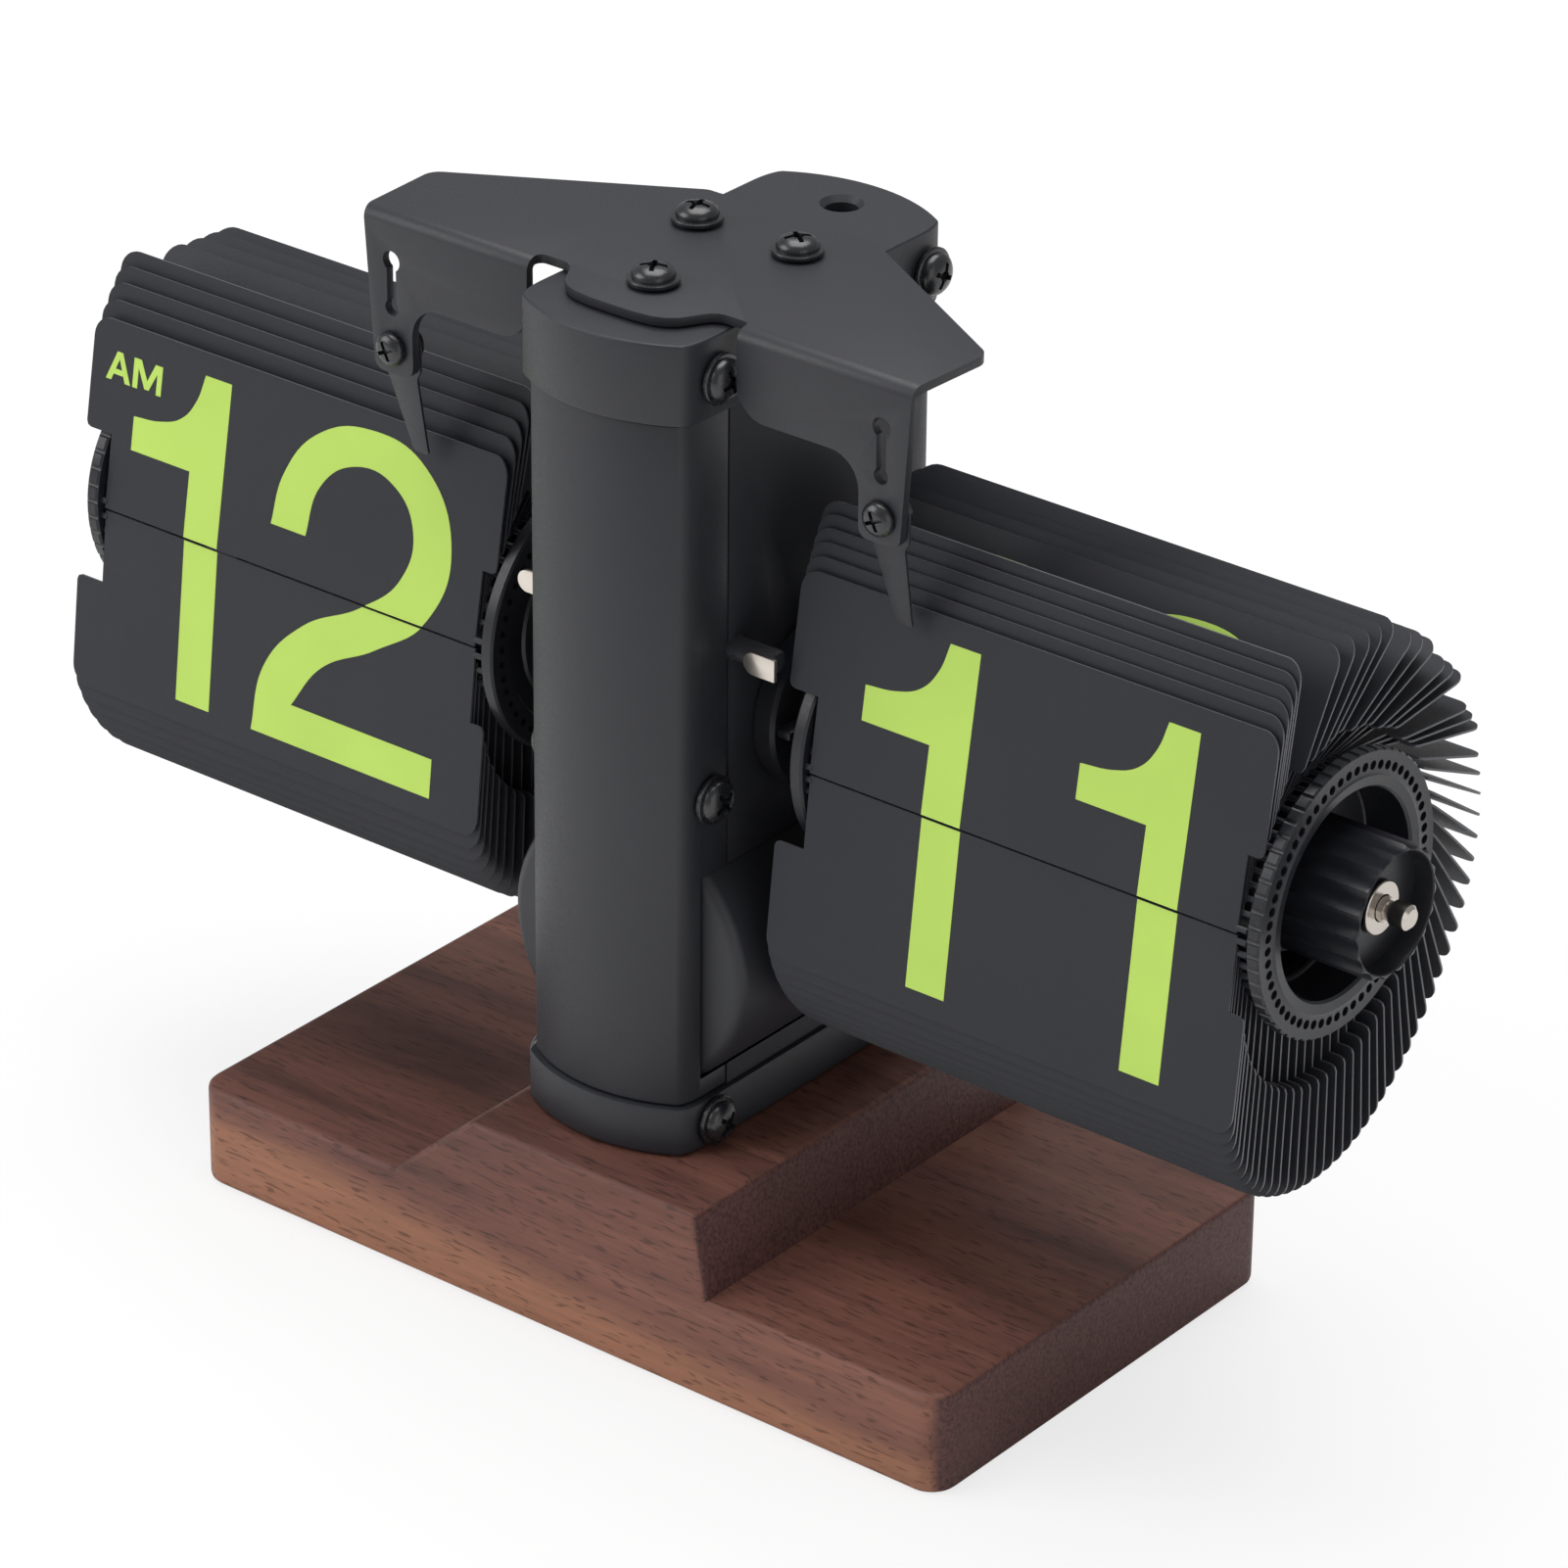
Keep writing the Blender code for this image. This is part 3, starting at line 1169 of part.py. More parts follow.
def build_retainer_clips():
    """Steel tabs, round at the left end, on the posts that stand out of the column's sides."""
    end = clip_width / 2
    half_length = clip_length / 2
    outline = arc((end - half_length, 0), end, 90.0, 270.0, 6) + [(half_length, -end), (half_length, end)]
    tab = plate_mesh([outline], clip_thickness, front_plane)
    for side, name in ((-1, "left_retainer_clip"), (1, "right_retainer_clip")):
        tab_x = side * (half_column + clip_post_length - clip_length / 2)
        tab_y = clip_post_y - clip_post_radius - seat_gap - clip_thickness / 2
        add_part(name, tab.copy(), "bright steel", Matrix.Translation((tab_x, tab_y, clip_post_z)))


def main():
    start_scene()
    build_base()
    build_collar()
    build_shells()
    build_cap()
    build_column_screws()
    build_battery()
    build_movement()
    build_gears()
    build_shaft_and_bearings()
    for kind in ("minute", "hour"):
        build_drum(kind)
        build_flaps(kind)
    build_knob()
    build_bracket()
    build_fingers()
    build_retainer_clips()
    bpy.context.view_layer.update()


main()
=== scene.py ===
"""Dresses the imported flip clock: fine pieces, finishes, a pale studio and the photograph's camera.

Sizes are in millimetres until they reach a mesh, X to the right, Y to the back and Z up.
"""

import math

import bmesh
import bpy
from mathutils import Matrix, Vector


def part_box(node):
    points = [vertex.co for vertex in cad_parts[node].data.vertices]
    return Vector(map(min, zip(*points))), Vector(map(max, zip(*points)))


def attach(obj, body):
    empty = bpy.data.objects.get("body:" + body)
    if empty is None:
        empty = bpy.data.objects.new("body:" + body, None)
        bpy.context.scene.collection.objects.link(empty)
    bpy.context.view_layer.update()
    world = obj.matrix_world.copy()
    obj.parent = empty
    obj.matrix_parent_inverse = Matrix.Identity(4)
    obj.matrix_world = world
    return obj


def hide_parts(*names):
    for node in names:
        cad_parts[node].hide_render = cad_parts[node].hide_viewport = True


bl_info = {
    "name": "Flip clock dresser",
    "version": (1, 0, 0),
    "blender": (4, 5, 0),
    "location": "3D View > Sidebar > Flip clock",
    "description": "Builds the fine pieces and finishes of a flip clock on a walnut base",
    "category": "Object",
}

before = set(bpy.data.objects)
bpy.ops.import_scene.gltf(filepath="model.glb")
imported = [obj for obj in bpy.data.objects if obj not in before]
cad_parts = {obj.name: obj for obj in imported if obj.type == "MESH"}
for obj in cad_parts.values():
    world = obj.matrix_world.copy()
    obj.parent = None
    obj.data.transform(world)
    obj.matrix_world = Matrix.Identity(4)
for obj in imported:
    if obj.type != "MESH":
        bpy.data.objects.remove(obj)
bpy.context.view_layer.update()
mm = 0.001


# Sizes and colours that a user would change

class ClockSizes(bpy.types.PropertyGroup):
    """Sizes of the pieces that this scene rounds, prints or presses, in millimetres."""

    base_edge: bpy.props.FloatProperty(
        name="Base edge", description="Rounding of the walnut's edges, mm", default=0.9, min=0.1)
    card_corner: bpy.props.FloatProperty(
        name="Card corner", description="Radius of a card's outer corners, mm", default=2.8, min=0.1)
    card_thickness: bpy.props.FloatProperty(
        name="Card thickness", description="Thickness of a flap card, mm", default=0.3, min=0.05)
    ink_height: bpy.props.FloatProperty(
        name="Ink height", description="How far a printed numeral stands off its card, mm",
        default=0.04, min=0.01)
    column_corner: bpy.props.FloatProperty(
        name="Column corner", description="Radius of the column's upright corners, mm",
        default=3.2, min=0.1)
    bend_radius: bpy.props.FloatProperty(
        name="Bend radius", description="Outer radius of the bracket's bends, mm", default=2.2, min=0.2)
    flutes: bpy.props.IntProperty(
        name="Knob flutes", description="Number of flutes round the setting knob", default=18, min=6)


class ClockColours(bpy.types.PropertyGroup):
    """Colours of the finishes, as sRGB hex values."""

    walnut_dark: bpy.props.StringProperty(
        name="Dark walnut", description="Heartwood streaks", default="#3b2320")
    walnut_mid: bpy.props.StringProperty(
        name="Walnut", description="The walnut's main colour", default="#6a443a")
    walnut_light: bpy.props.StringProperty(
        name="Light walnut", description="The sapwood side of the board", default="#9c6b52")
    coat: bpy.props.StringProperty(
        name="Powder coat", description="The column's and the bracket's coat", default="#28292e")
    moulding: bpy.props.StringProperty(
        name="Moulding", description="The drums' black mouldings", default="#1f2025")
    card: bpy.props.StringProperty(
        name="Card", description="The flap cards' sheet", default="#2d2e33")
    ink: bpy.props.StringProperty(
        name="Ink", description="The printed numerals", default="#bbdc66")


# Values shared with the clock's solids, in millimetres

base_length, base_depth, deck_height, step_height = 126.3, 70.7, 14.6, 26.5
step_left_foot, step_left_top, step_right_top, step_right_foot = -27.7, -14.5, 23.3, 25.3
base_screw_places = {"front": -15.0, "rear": 15.0}
column_half, column_front, column_rear, column_bulge = 12.85, -24.0, 25.0, 4.0
cap_grow, collar_grow, cap_screw_z = 0.9, 0.8, 135.2
seam_y, shell_bottom, shell_top, cap_top = -16.0, 33.6, 130.1, 141.0
tube_z, tube_radius, tube_wall, tube_front = 51.3, 19.2, 1.7, -20.7
bracket_top, bracket_front, bracket_thickness = 142.5, -19.5, 1.2
finger_x, finger_screw_z, finger_screw_hole, finger_thickness = 39.4, 124.0, 1.4, 0.4
axis_y, axis_z, pin_circle = 0.5, 83.4, 16.6
shaft_room, small_rim, large_rim = 1.8, 17.8, 18.7
drum_length, minute_near, hour_near = 72.8, 23.8, -24.5
card_width, card_height, split_gap = 72.5, 26.1, 0.4
gap = 0.3
# How the cards lean at each place on the ring, in degrees from +Y towards +Z: they lie in clusters
fan_pins = {
    "minute": (
        -177.0, -135.0, -90.0, -45.0, -20.0, 0.0, 27.0, 45.0, 57.0, 63.0,
        75.0, 81.0, 93.0, 99.0, 111.0, 117.0, 129.0, 141.0, 147.0, 177.0),
    "hour": (
        -176.3, -135.0, -90.0, -45.0, -20.0, 0.0, 27.0, 45.0, 56.2, 63.7,
        78.7, 93.7, 101.2, 108.7, 116.2, 123.7, 131.2, 138.7, 146.2, 176.3)}
fan_leans = {
    "minute": (
        -96.8, -94.0, -90.0, -84.0, -76.5, -65.0, -44.0, -29.5, -20.0, -12.0,
        -6.0, 4.5, 12.0, 20.5, 31.5, 42.0, 49.5, 61.0, 80.3, 80.8),
    "hour": (
        -96.8, -94.0, -90.0, -84.0, -76.5, -65.0, -44.0, -29.5, -20.0, -12.0,
        0.0, 13.5, 19.0, 27.0, 39.0, 43.0, 48.0, 55.0, 75.5, 80.0)}
# How far behind the pin circle the cards stand at each place
shift_pins = (96.0, 120.0, 141.0, 147.0, 153.0, 159.0, 165.0, 170.0, 177.0)
shifts = (0.0, 0.6, 0.74, 1.15, 1.3, 1.27, 1.16, 0.88, 0.0)
# The drums: cards in a ring, left end, ends near to and far from the column, way out, outer and inner rims
drums = {
    "minute": {
        "count": 60, "left": minute_near, "near": minute_near, "far": minute_near + drum_length,
        "outward": "+X", "inward": "-X", "outer_rim": large_rim, "inner_rim": small_rim},
    "hour": {
        "count": 48, "left": hour_near - drum_length, "near": hour_near, "far": hour_near - drum_length,
        "outward": "-X", "inward": "+X", "outer_rim": small_rim, "inner_rim": large_rim}}
finishes = {}


# Materials

def linear(text):
    """An sRGB hex colour as linear RGBA."""
    parts = [int(text[i:i + 2], 16) / 255 for i in (1, 3, 5)]
    return (*[c / 12.92 if c <= 0.04045 else ((c + 0.055) / 1.055) ** 2.4 for c in parts], 1.0)


def feed(tree, node, inputs):
    """Sets each named input of a node to its value, or links it from an output socket."""
    for name, value in inputs.items():
        socket = node.inputs[name]
        if isinstance(value, bpy.types.NodeSocket):
            tree.links.new(value, socket)
        else:
            socket.default_value = value


def add_node(tree, kind, inputs=None, stops=(), **settings):
    """Adds one node with its settings, its inputs and, on a colour ramp, its (place, hex or grey) stops."""
    node = tree.nodes.new(kind)
    for name, value in settings.items():
        setattr(node, name, value)
    feed(tree, node, inputs or {})
    if stops:
        elements = node.color_ramp.elements
        while len(elements) < len(stops):
            elements.new(0.5)
        for element, (place, colour) in zip(elements, stops):
            element.position = place
            element.color = linear(colour) if isinstance(colour, str) else (colour, colour, colour, 1.0)
    return node


def new_finish(name):
    """A new node material, kept under its name; returns its tree and its shader."""
    material = bpy.data.materials.new(name)
    material.use_nodes = True
    finishes[name] = material
    return material.node_tree, material.node_tree.nodes["Principled BSDF"]


def coat_finish(name, colour, rough, grain_mm, bump, specular=0.5):
    """A surface with a fine even grain, in colour, roughness and height: paint, moulding or card."""
    cloud_mm = 22.0
    tree, shader = new_finish(name)
    place = add_node(tree, "ShaderNodeTexCoord").outputs["Object"]
    grain = add_node(tree, "ShaderNodeTexNoise", {
        "Vector": place, "Scale": 1000.0 / grain_mm, "Detail": 2.0}).outputs["Fac"]
    cloud = add_node(tree, "ShaderNodeTexNoise", {
        "Vector": place, "Scale": 1000.0 / cloud_mm, "Detail": 3.0}).outputs["Fac"]
    tint = add_node(tree, "ShaderNodeMix", {
        "Factor": cloud,
        "A": [c * 0.9 for c in linear(colour)[:3]] + [1.0],
        "B": [min(1.0, c * 1.1) for c in linear(colour)[:3]] + [1.0]}, data_type="RGBA")
    spread = add_node(tree, "ShaderNodeMapRange", {
        "Value": grain, "From Min": 0.3, "From Max": 0.7, "To Min": rough - 0.05, "To Max": rough + 0.07})
    relief = add_node(tree, "ShaderNodeBump", {"Height": grain, "Strength": bump, "Distance": 0.02 * mm})
    feed(tree, shader, {
        "Base Color": tint.outputs["Result"], "Roughness": spread.outputs["Result"],
        "Normal": relief.outputs["Normal"], "Specular IOR Level": specular})


def metal_finish(name, colour, rough, turned=True):
    """Bare metal: fine tool marks round the turning axis, X, or a fine rolled grain."""
    marks_per_metre = 1000.0 / 0.25
    tree, shader = new_finish(name)
    place = add_node(tree, "ShaderNodeTexCoord").outputs["Object"]
    stretch = (marks_per_metre, 40.0, 40.0) if turned else (60.0, 60.0, marks_per_metre)
    scaled = add_node(tree, "ShaderNodeMapping", {"Vector": place, "Scale": stretch})
    marks = add_node(tree, "ShaderNodeTexNoise", {
        "Vector": scaled.outputs["Vector"], "Scale": 1.0, "Detail": 2.0}).outputs["Fac"]
    spread = add_node(tree, "ShaderNodeMapRange", {
        "Value": marks, "To Min": rough - 0.08, "To Max": rough + 0.1})
    relief = add_node(tree, "ShaderNodeBump", {"Height": marks, "Strength": 0.15, "Distance": 0.02 * mm})
    feed(tree, shader, {
        "Base Color": linear(colour), "Metallic": 1.0, "Roughness": spread.outputs["Result"],
        "Normal": relief.outputs["Normal"]})


def walnut_finish(colours):
    """Oiled American black walnut, sanded: long figure along X, dark pores, end grain on the X faces."""
    tree, shader = new_finish("oiled_walnut")
    coords = add_node(tree, "ShaderNodeTexCoord")
    place = coords.outputs["Object"]
    wood = {}
    for part, stretch, noise in (
            # The figure wanders slowly along the board and is tight across it
            ("figure", (9.0, 75.0, 75.0), {"Detail": 6.0, "Roughness": 0.6, "Distortion": 0.6}),
            ("fibre", (45.0, 900.0, 900.0), {"Detail": 3.0, "Roughness": 0.7}),
            # Pores: ticks about 3 mm long and 0.5 mm apart, cut open by the plane
            ("pore", (330.0, 2100.0, 2100.0), {"Detail": 1.0, "Roughness": 0.4}),
            # End grain: fine dots where the fibres are cut across
            ("dots", (700.0, 1900.0, 1900.0), {"Detail": 2.0})):
        stretched = add_node(tree, "ShaderNodeMapping", {"Vector": place, "Scale": stretch})
        inputs = {"Vector": stretched.outputs["Vector"], "Scale": 1.0, **noise}
        wood[part] = add_node(tree, "ShaderNodeTexNoise", inputs).outputs["Fac"]
    long_colour = add_node(tree, "ShaderNodeValToRGB", {"Fac": wood["figure"]}, stops=[
        (0.30, colours.walnut_dark), (0.47, colours.walnut_mid), (0.62, "#7a5044"), (0.75, "#8a5c4a")])
    # A paler band runs along the bottom of the board, with an edge that wanders and rises to the left
    parts = add_node(tree, "ShaderNodeSeparateXYZ", {"Vector": place})
    wander = add_node(tree, "ShaderNodeMath", {0: wood["figure"], 1: 0.012}, operation="MULTIPLY")
    tilt = add_node(tree, "ShaderNodeMath", {0: parts.outputs["X"], 1: 0.045}, operation="MULTIPLY")
    level = add_node(tree, "ShaderNodeMath", {
        0: parts.outputs["Z"], 1: wander.outputs[0]}, operation="ADD")
    level = add_node(tree, "ShaderNodeMath", {0: level.outputs[0], 1: tilt.outputs[0]}, operation="ADD")
    band = add_node(tree, "ShaderNodeMapRange", {
        "Value": level.outputs[0], "From Min": 0.0115, "From Max": 0.0165, "To Min": 1.0, "To Max": 0.0})
    banded = add_node(tree, "ShaderNodeMix", {
        "Factor": band.outputs["Result"], "A": long_colour.outputs["Color"],
        "B": linear(colours.walnut_light)}, data_type="RGBA")
    fibre_shade = add_node(tree, "ShaderNodeValToRGB", {"Fac": wood["fibre"]}, stops=[
        (0.3, 0.78), (0.7, 1.12)])
    fibred = add_node(tree, "ShaderNodeMix", {
        "Factor": 1.0, "A": banded.outputs["Result"],
        "B": fibre_shade.outputs["Color"]}, data_type="RGBA", blend_type="MULTIPLY")
    pore_mask = add_node(tree, "ShaderNodeValToRGB", {"Fac": wood["pore"]}, stops=[
        (0.60, 0.0), (0.68, 1.0)]).outputs["Color"]
    pore_share = add_node(tree, "ShaderNodeMath", {0: pore_mask, 1: 0.5}, operation="MULTIPLY")
    pored = add_node(tree, "ShaderNodeMix", {
        "Factor": pore_share.outputs[0], "A": fibred.outputs["Result"],
        "B": linear("#2a1614")}, data_type="RGBA")
    end_colour = add_node(tree, "ShaderNodeValToRGB", {"Fac": wood["dots"]}, stops=[
        (0.35, "#3f2826"), (0.5, "#533431"), (0.7, "#5f3f3b")])
    # The cut across the fibres is told by the surface's own direction
    facing = add_node(tree, "ShaderNodeSeparateXYZ", {"Vector": coords.outputs["Normal"]})
    across = add_node(tree, "ShaderNodeMath", {0: facing.outputs["X"]}, operation="ABSOLUTE")
    end_mask = add_node(tree, "ShaderNodeMapRange", {
        "Value": across.outputs[0], "From Min": 0.55, "From Max": 0.8})
    ended = add_node(tree, "ShaderNodeMix", {
        "Factor": end_mask.outputs["Result"], "A": pored.outputs["Result"],
        "B": end_colour.outputs["Color"]}, data_type="RGBA")
    spread = add_node(tree, "ShaderNodeMapRange", {"Value": wood["fibre"], "To Min": 0.42, "To Max": 0.62})
    relief = add_node(tree, "ShaderNodeBump", {
        "Height": pore_mask, "Strength": 0.35, "Distance": 0.06 * mm}, invert=True)
    feed(tree, shader, {
        "Base Color": ended.outputs["Result"], "Roughness": spread.outputs["Result"],
        "Normal": relief.outputs["Normal"], "Specular IOR Level": 0.35})


def make_finishes(colours):
    """All the finishes, each named for what the real one is, and a paler card edge that is a painted
    highlight.
    """
    # Satin powder coat on steel and on the column: an even, very fine orange peel with a soft sheen
    coat_finish("satin_powder_coat", colours.coat, 0.46, 0.35, 0.35, 0.45)
    # Moulded ABS, semi-gloss: the drums, knob and bosses show sharper highlights than the coat
    coat_finish("moulded_abs", colours.moulding, 0.34, 0.5, 0.15, 0.4)
    # Rigid PVC sheet, matt: the cards are even and dull, with a faint sheen at a low angle
    coat_finish("matt_pvc_card", colours.card, 0.5, 0.3, 0.25, 0.25)
    # The same sheet on its cut edges, coloured paler than the face: a painted highlight along each card
    # edge
    coat_finish("card_edge_painted_highlight", "#55565b", 0.45, 0.3, 0.1, 0.5)
    # Screen-printed ink: flat and slightly rough, with a faint grain
    coat_finish("screen_printed_ink", colours.ink, 0.6, 0.25, 0.2, 0.25)
    # Black-oxide steel screws: dark, oily and glossier than the coat
    coat_finish("black_oxide_steel", "#1b1c20", 0.28, 0.3, 0.15, 0.7)
    # Turned and nickel-plated steel
    metal_finish("nickel_plated_steel", "#c9c2ba", 0.22)
    # Rolled steel strip, lightly brushed
    metal_finish("bright_steel_strip", "#d6cec4", 0.3, turned=False)
    metal_finish("zinc_plated_steel", "#a9aaa8", 0.35, turned=False)
    metal_finish("rolled_brass", "#b08d4a", 0.33)
    # Natural acetal: waxy white
    coat_finish("natural_acetal", "#d9d8d2", 0.4, 0.6, 0.1)
    coat_finish("solder_mask", "#1f5a34", 0.35, 0.6, 0.2)
    coat_finish("pvc_wire_sleeve", "#8e1f1f", 0.45, 0.5, 0.1)
    coat_finish("plain_cell_wrap", "#7c2f25", 0.3, 0.5, 0.1)
    walnut_finish(colours)


# Modelling helpers

def drop_selection():
    """Leaves edit mode and selects nothing."""
    if bpy.context.object and bpy.context.object.mode != "OBJECT":
        bpy.ops.object.mode_set(mode="OBJECT")
    bpy.ops.object.select_all(action="DESELECT")


def pick(obj):
    """Selects one object alone and makes it active."""
    drop_selection()
    obj.select_set(True)
    bpy.context.view_layer.objects.active = obj
    return obj


def choose(kind, test):
    """In edit mode, selects exactly the vertices, edges or faces that pass a test."""
    mesh = bpy.context.object.data
    bpy.ops.mesh.select_mode(type=kind)
    bpy.ops.mesh.select_all(action="DESELECT")
    work = bmesh.from_edit_mesh(mesh)
    found = {"VERT": work.verts, "EDGE": work.edges, "FACE": work.faces}[kind]
    for item in found:
        if test(item):
            item.select_set(True)
    work.select_flush_mode()
    bmesh.update_edit_mesh(mesh)


def grown(name, rings, start_cap=True, end_cap=True, closed=False):
    """Grows a skin from a circle: each next ring is an extrusion of the last one, moved to its place.

    Rings are lists of points in metres. A closed skin's last ring is joined to its first.
    """
    drop_selection()
    count = len(rings[0])
    bpy.ops.mesh.primitive_circle_add(vertices=count, radius=1.0)
    obj = bpy.context.object
    obj.name = name
    for vert, point in zip(obj.data.vertices, rings[0]):
        vert.co = point
    bpy.ops.object.mode_set(mode="EDIT")
    if start_cap and not closed:
        bpy.ops.mesh.select_all(action="SELECT")
        bpy.ops.mesh.edge_face_add()
    bpy.ops.mesh.select_mode(type="EDGE")
    bpy.ops.mesh.select_all(action="SELECT")
    for last, ring in zip(rings, rings[1:]):
        bpy.ops.mesh.extrude_edges_move(TRANSFORM_OT_translate={"value": (0, 0, 0)})
        work = bmesh.from_edit_mesh(obj.data)
        work.verts.ensure_lookup_table()
        picked = sorted((v for v in work.verts if v.select), key=lambda v: v.index)
        for i, vert in enumerate(picked):
            # The new points lie on the last ring's, in its order or not
            if (vert.co - Vector(last[i])).length > 1e-7:
                i = min(range(count), key=lambda j: (vert.co - Vector(last[j])).length)
            vert.co = ring[i]
        bmesh.update_edit_mesh(obj.data)
    if closed:
        bpy.ops.mesh.select_all(action="SELECT")
        bpy.ops.mesh.remove_doubles(threshold=0.001 * mm)
    elif end_cap:
        bpy.ops.mesh.edge_face_add()
    bpy.ops.mesh.select_all(action="SELECT")
    bpy.ops.mesh.normals_make_consistent(inside=False)
    bpy.ops.object.mode_set(mode="OBJECT")
    return obj


def circle_points(radius, height, sides):
    """A ring of points round Z in metres, from a radius and a height in mm."""
    turns = [2 * math.pi * i / sides for i in range(sides)]
    return [Vector((radius * math.cos(turn), radius * math.sin(turn), height)) * mm for turn in turns]


axis_turns = {
    "+Z": Matrix.Identity(4),
    "+X": Matrix.Rotation(math.radians(90.0), 4, "Y"),
    "-X": Matrix.Rotation(math.radians(-90.0), 4, "Y"),
    "+Y": Matrix.Rotation(math.radians(-90.0), 4, "X"),
    "-Y": Matrix.Rotation(math.radians(90.0), 4, "X"),
}


def placed(obj, start, axis="+Z"):
    """Moves a mesh built round Z to a start point in mm, along an axis."""
    obj.data.transform(Matrix.Translation(Vector(start) * mm) @ axis_turns[axis])
    return obj


def turned(name, profile, start, axis, sides=96, closed=False):
    """Lathe work from (radius, height) stations in mm; a radius of 0 closes that end flat."""
    stations = [p for p in profile if p[0] > 0]
    rings = [circle_points(radius, height, sides) for radius, height in stations]
    if closed:
        rings.append(rings[0])
    obj = grown(name, rings, profile[0][0] == 0, profile[-1][0] == 0, closed)
    return placed(obj, start, axis)


def flat_shape(name, points, height=None):
    """A filled outline in mm, as one face from a circle whose points are moved, in the XY plane."""
    drop_selection()
    bpy.ops.mesh.primitive_circle_add(vertices=len(points), radius=1.0, fill_type="NGON")
    obj = bpy.context.object
    obj.name = name
    for vert, (x, y) in zip(obj.data.vertices, points):
        vert.co = Vector((x, y, 0)) * mm
    if height:
        bpy.ops.object.mode_set(mode="EDIT")
        bpy.ops.mesh.select_all(action="SELECT")
        bpy.ops.mesh.extrude_region_move(TRANSFORM_OT_translate={"value": (0, 0, height * mm)})
        bpy.ops.mesh.select_all(action="SELECT")
        bpy.ops.mesh.normals_make_consistent(inside=False)
        bpy.ops.object.mode_set(mode="OBJECT")
    return obj


def apply_modifier(obj, kind, **settings):
    """Adds one modifier and applies it."""
    pick(obj)
    modifier = obj.modifiers.new(kind.title(), kind)
    for name, value in settings.items():
        setattr(modifier, name, value)
    bpy.ops.object.modifier_apply(modifier=modifier.name)
    return obj


def round_edges(obj, width, segments=2, angle=35.0):
    """Rounds every edge sharper than an angle, by a width in mm."""
    return apply_modifier(
        obj, "BEVEL", width=width * mm, segments=segments, limit_method="ANGLE",
        angle_limit=math.radians(angle), miter_outer="MITER_ARC", use_clamp_overlap=True)


def cut_with(obj, *cutters):
    """Cuts the cutters out of a piece and removes them."""
    for cutter in cutters:
        apply_modifier(obj, "BOOLEAN", object=cutter, operation="DIFFERENCE", solver="EXACT")
        bpy.data.objects.remove(cutter)
    return obj


def joined(name, pieces):
    """Several meshes as one object."""
    drop_selection()
    for piece in pieces:
        piece.select_set(True)
    bpy.context.view_layer.objects.active = pieces[0]
    bpy.ops.object.join()
    pieces[0].name = name
    return pieces[0]


def copy_of(obj, name, matrix):
    """A copy with its own mesh, placed in its mesh."""
    twin = obj.copy()
    twin.data = obj.data.copy()
    twin.name = name
    bpy.context.scene.collection.objects.link(twin)
    twin.data.transform(matrix)
    if matrix.determinant() < 0:
        twin.data.flip_normals()
    return twin


def rod(radius, start, axis, length, sides=24):
    """A plain rod for cutting, from a start point in mm along an axis."""
    return turned("rod", [(0, 0), (radius, 0), (radius, length), (0, length)], start, axis, sides)


def block(low, high):
    """A plain block for cutting, between two corners in mm."""
    drop_selection()
    bpy.ops.mesh.primitive_cube_add(size=1.0)
    obj = bpy.context.object
    size = Vector(high) - Vector(low)
    middle = (Vector(high) + Vector(low)) / 2
    obj.data.transform(Matrix.Translation(middle * mm) @ Matrix.Diagonal((*(size * mm), 1.0)))
    return obj


def arc(centre, radius, start, end, steps):
    """Points on an arc in mm, from a start to an end in degrees, both ends included."""
    turns = [math.radians(start + (end - start) * i / steps) for i in range(steps + 1)]
    return [(centre[0] + radius * math.cos(turn), centre[1] + radius * math.sin(turn)) for turn in turns]


def dressed(obj, finish, body, slot, *nodes, angle=32.0):
    """Gives a piece its finish and shading, ties it to its body and hides the solids it stands for; the
    slot is not used.
    """
    if not obj.data.materials:
        obj.data.materials.append(finishes[finish])
    pick(obj)
    bpy.ops.object.shade_smooth_by_angle(angle=math.radians(angle))
    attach(obj, body)
    if nodes:
        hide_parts(*nodes)
    return obj


# Walnut base

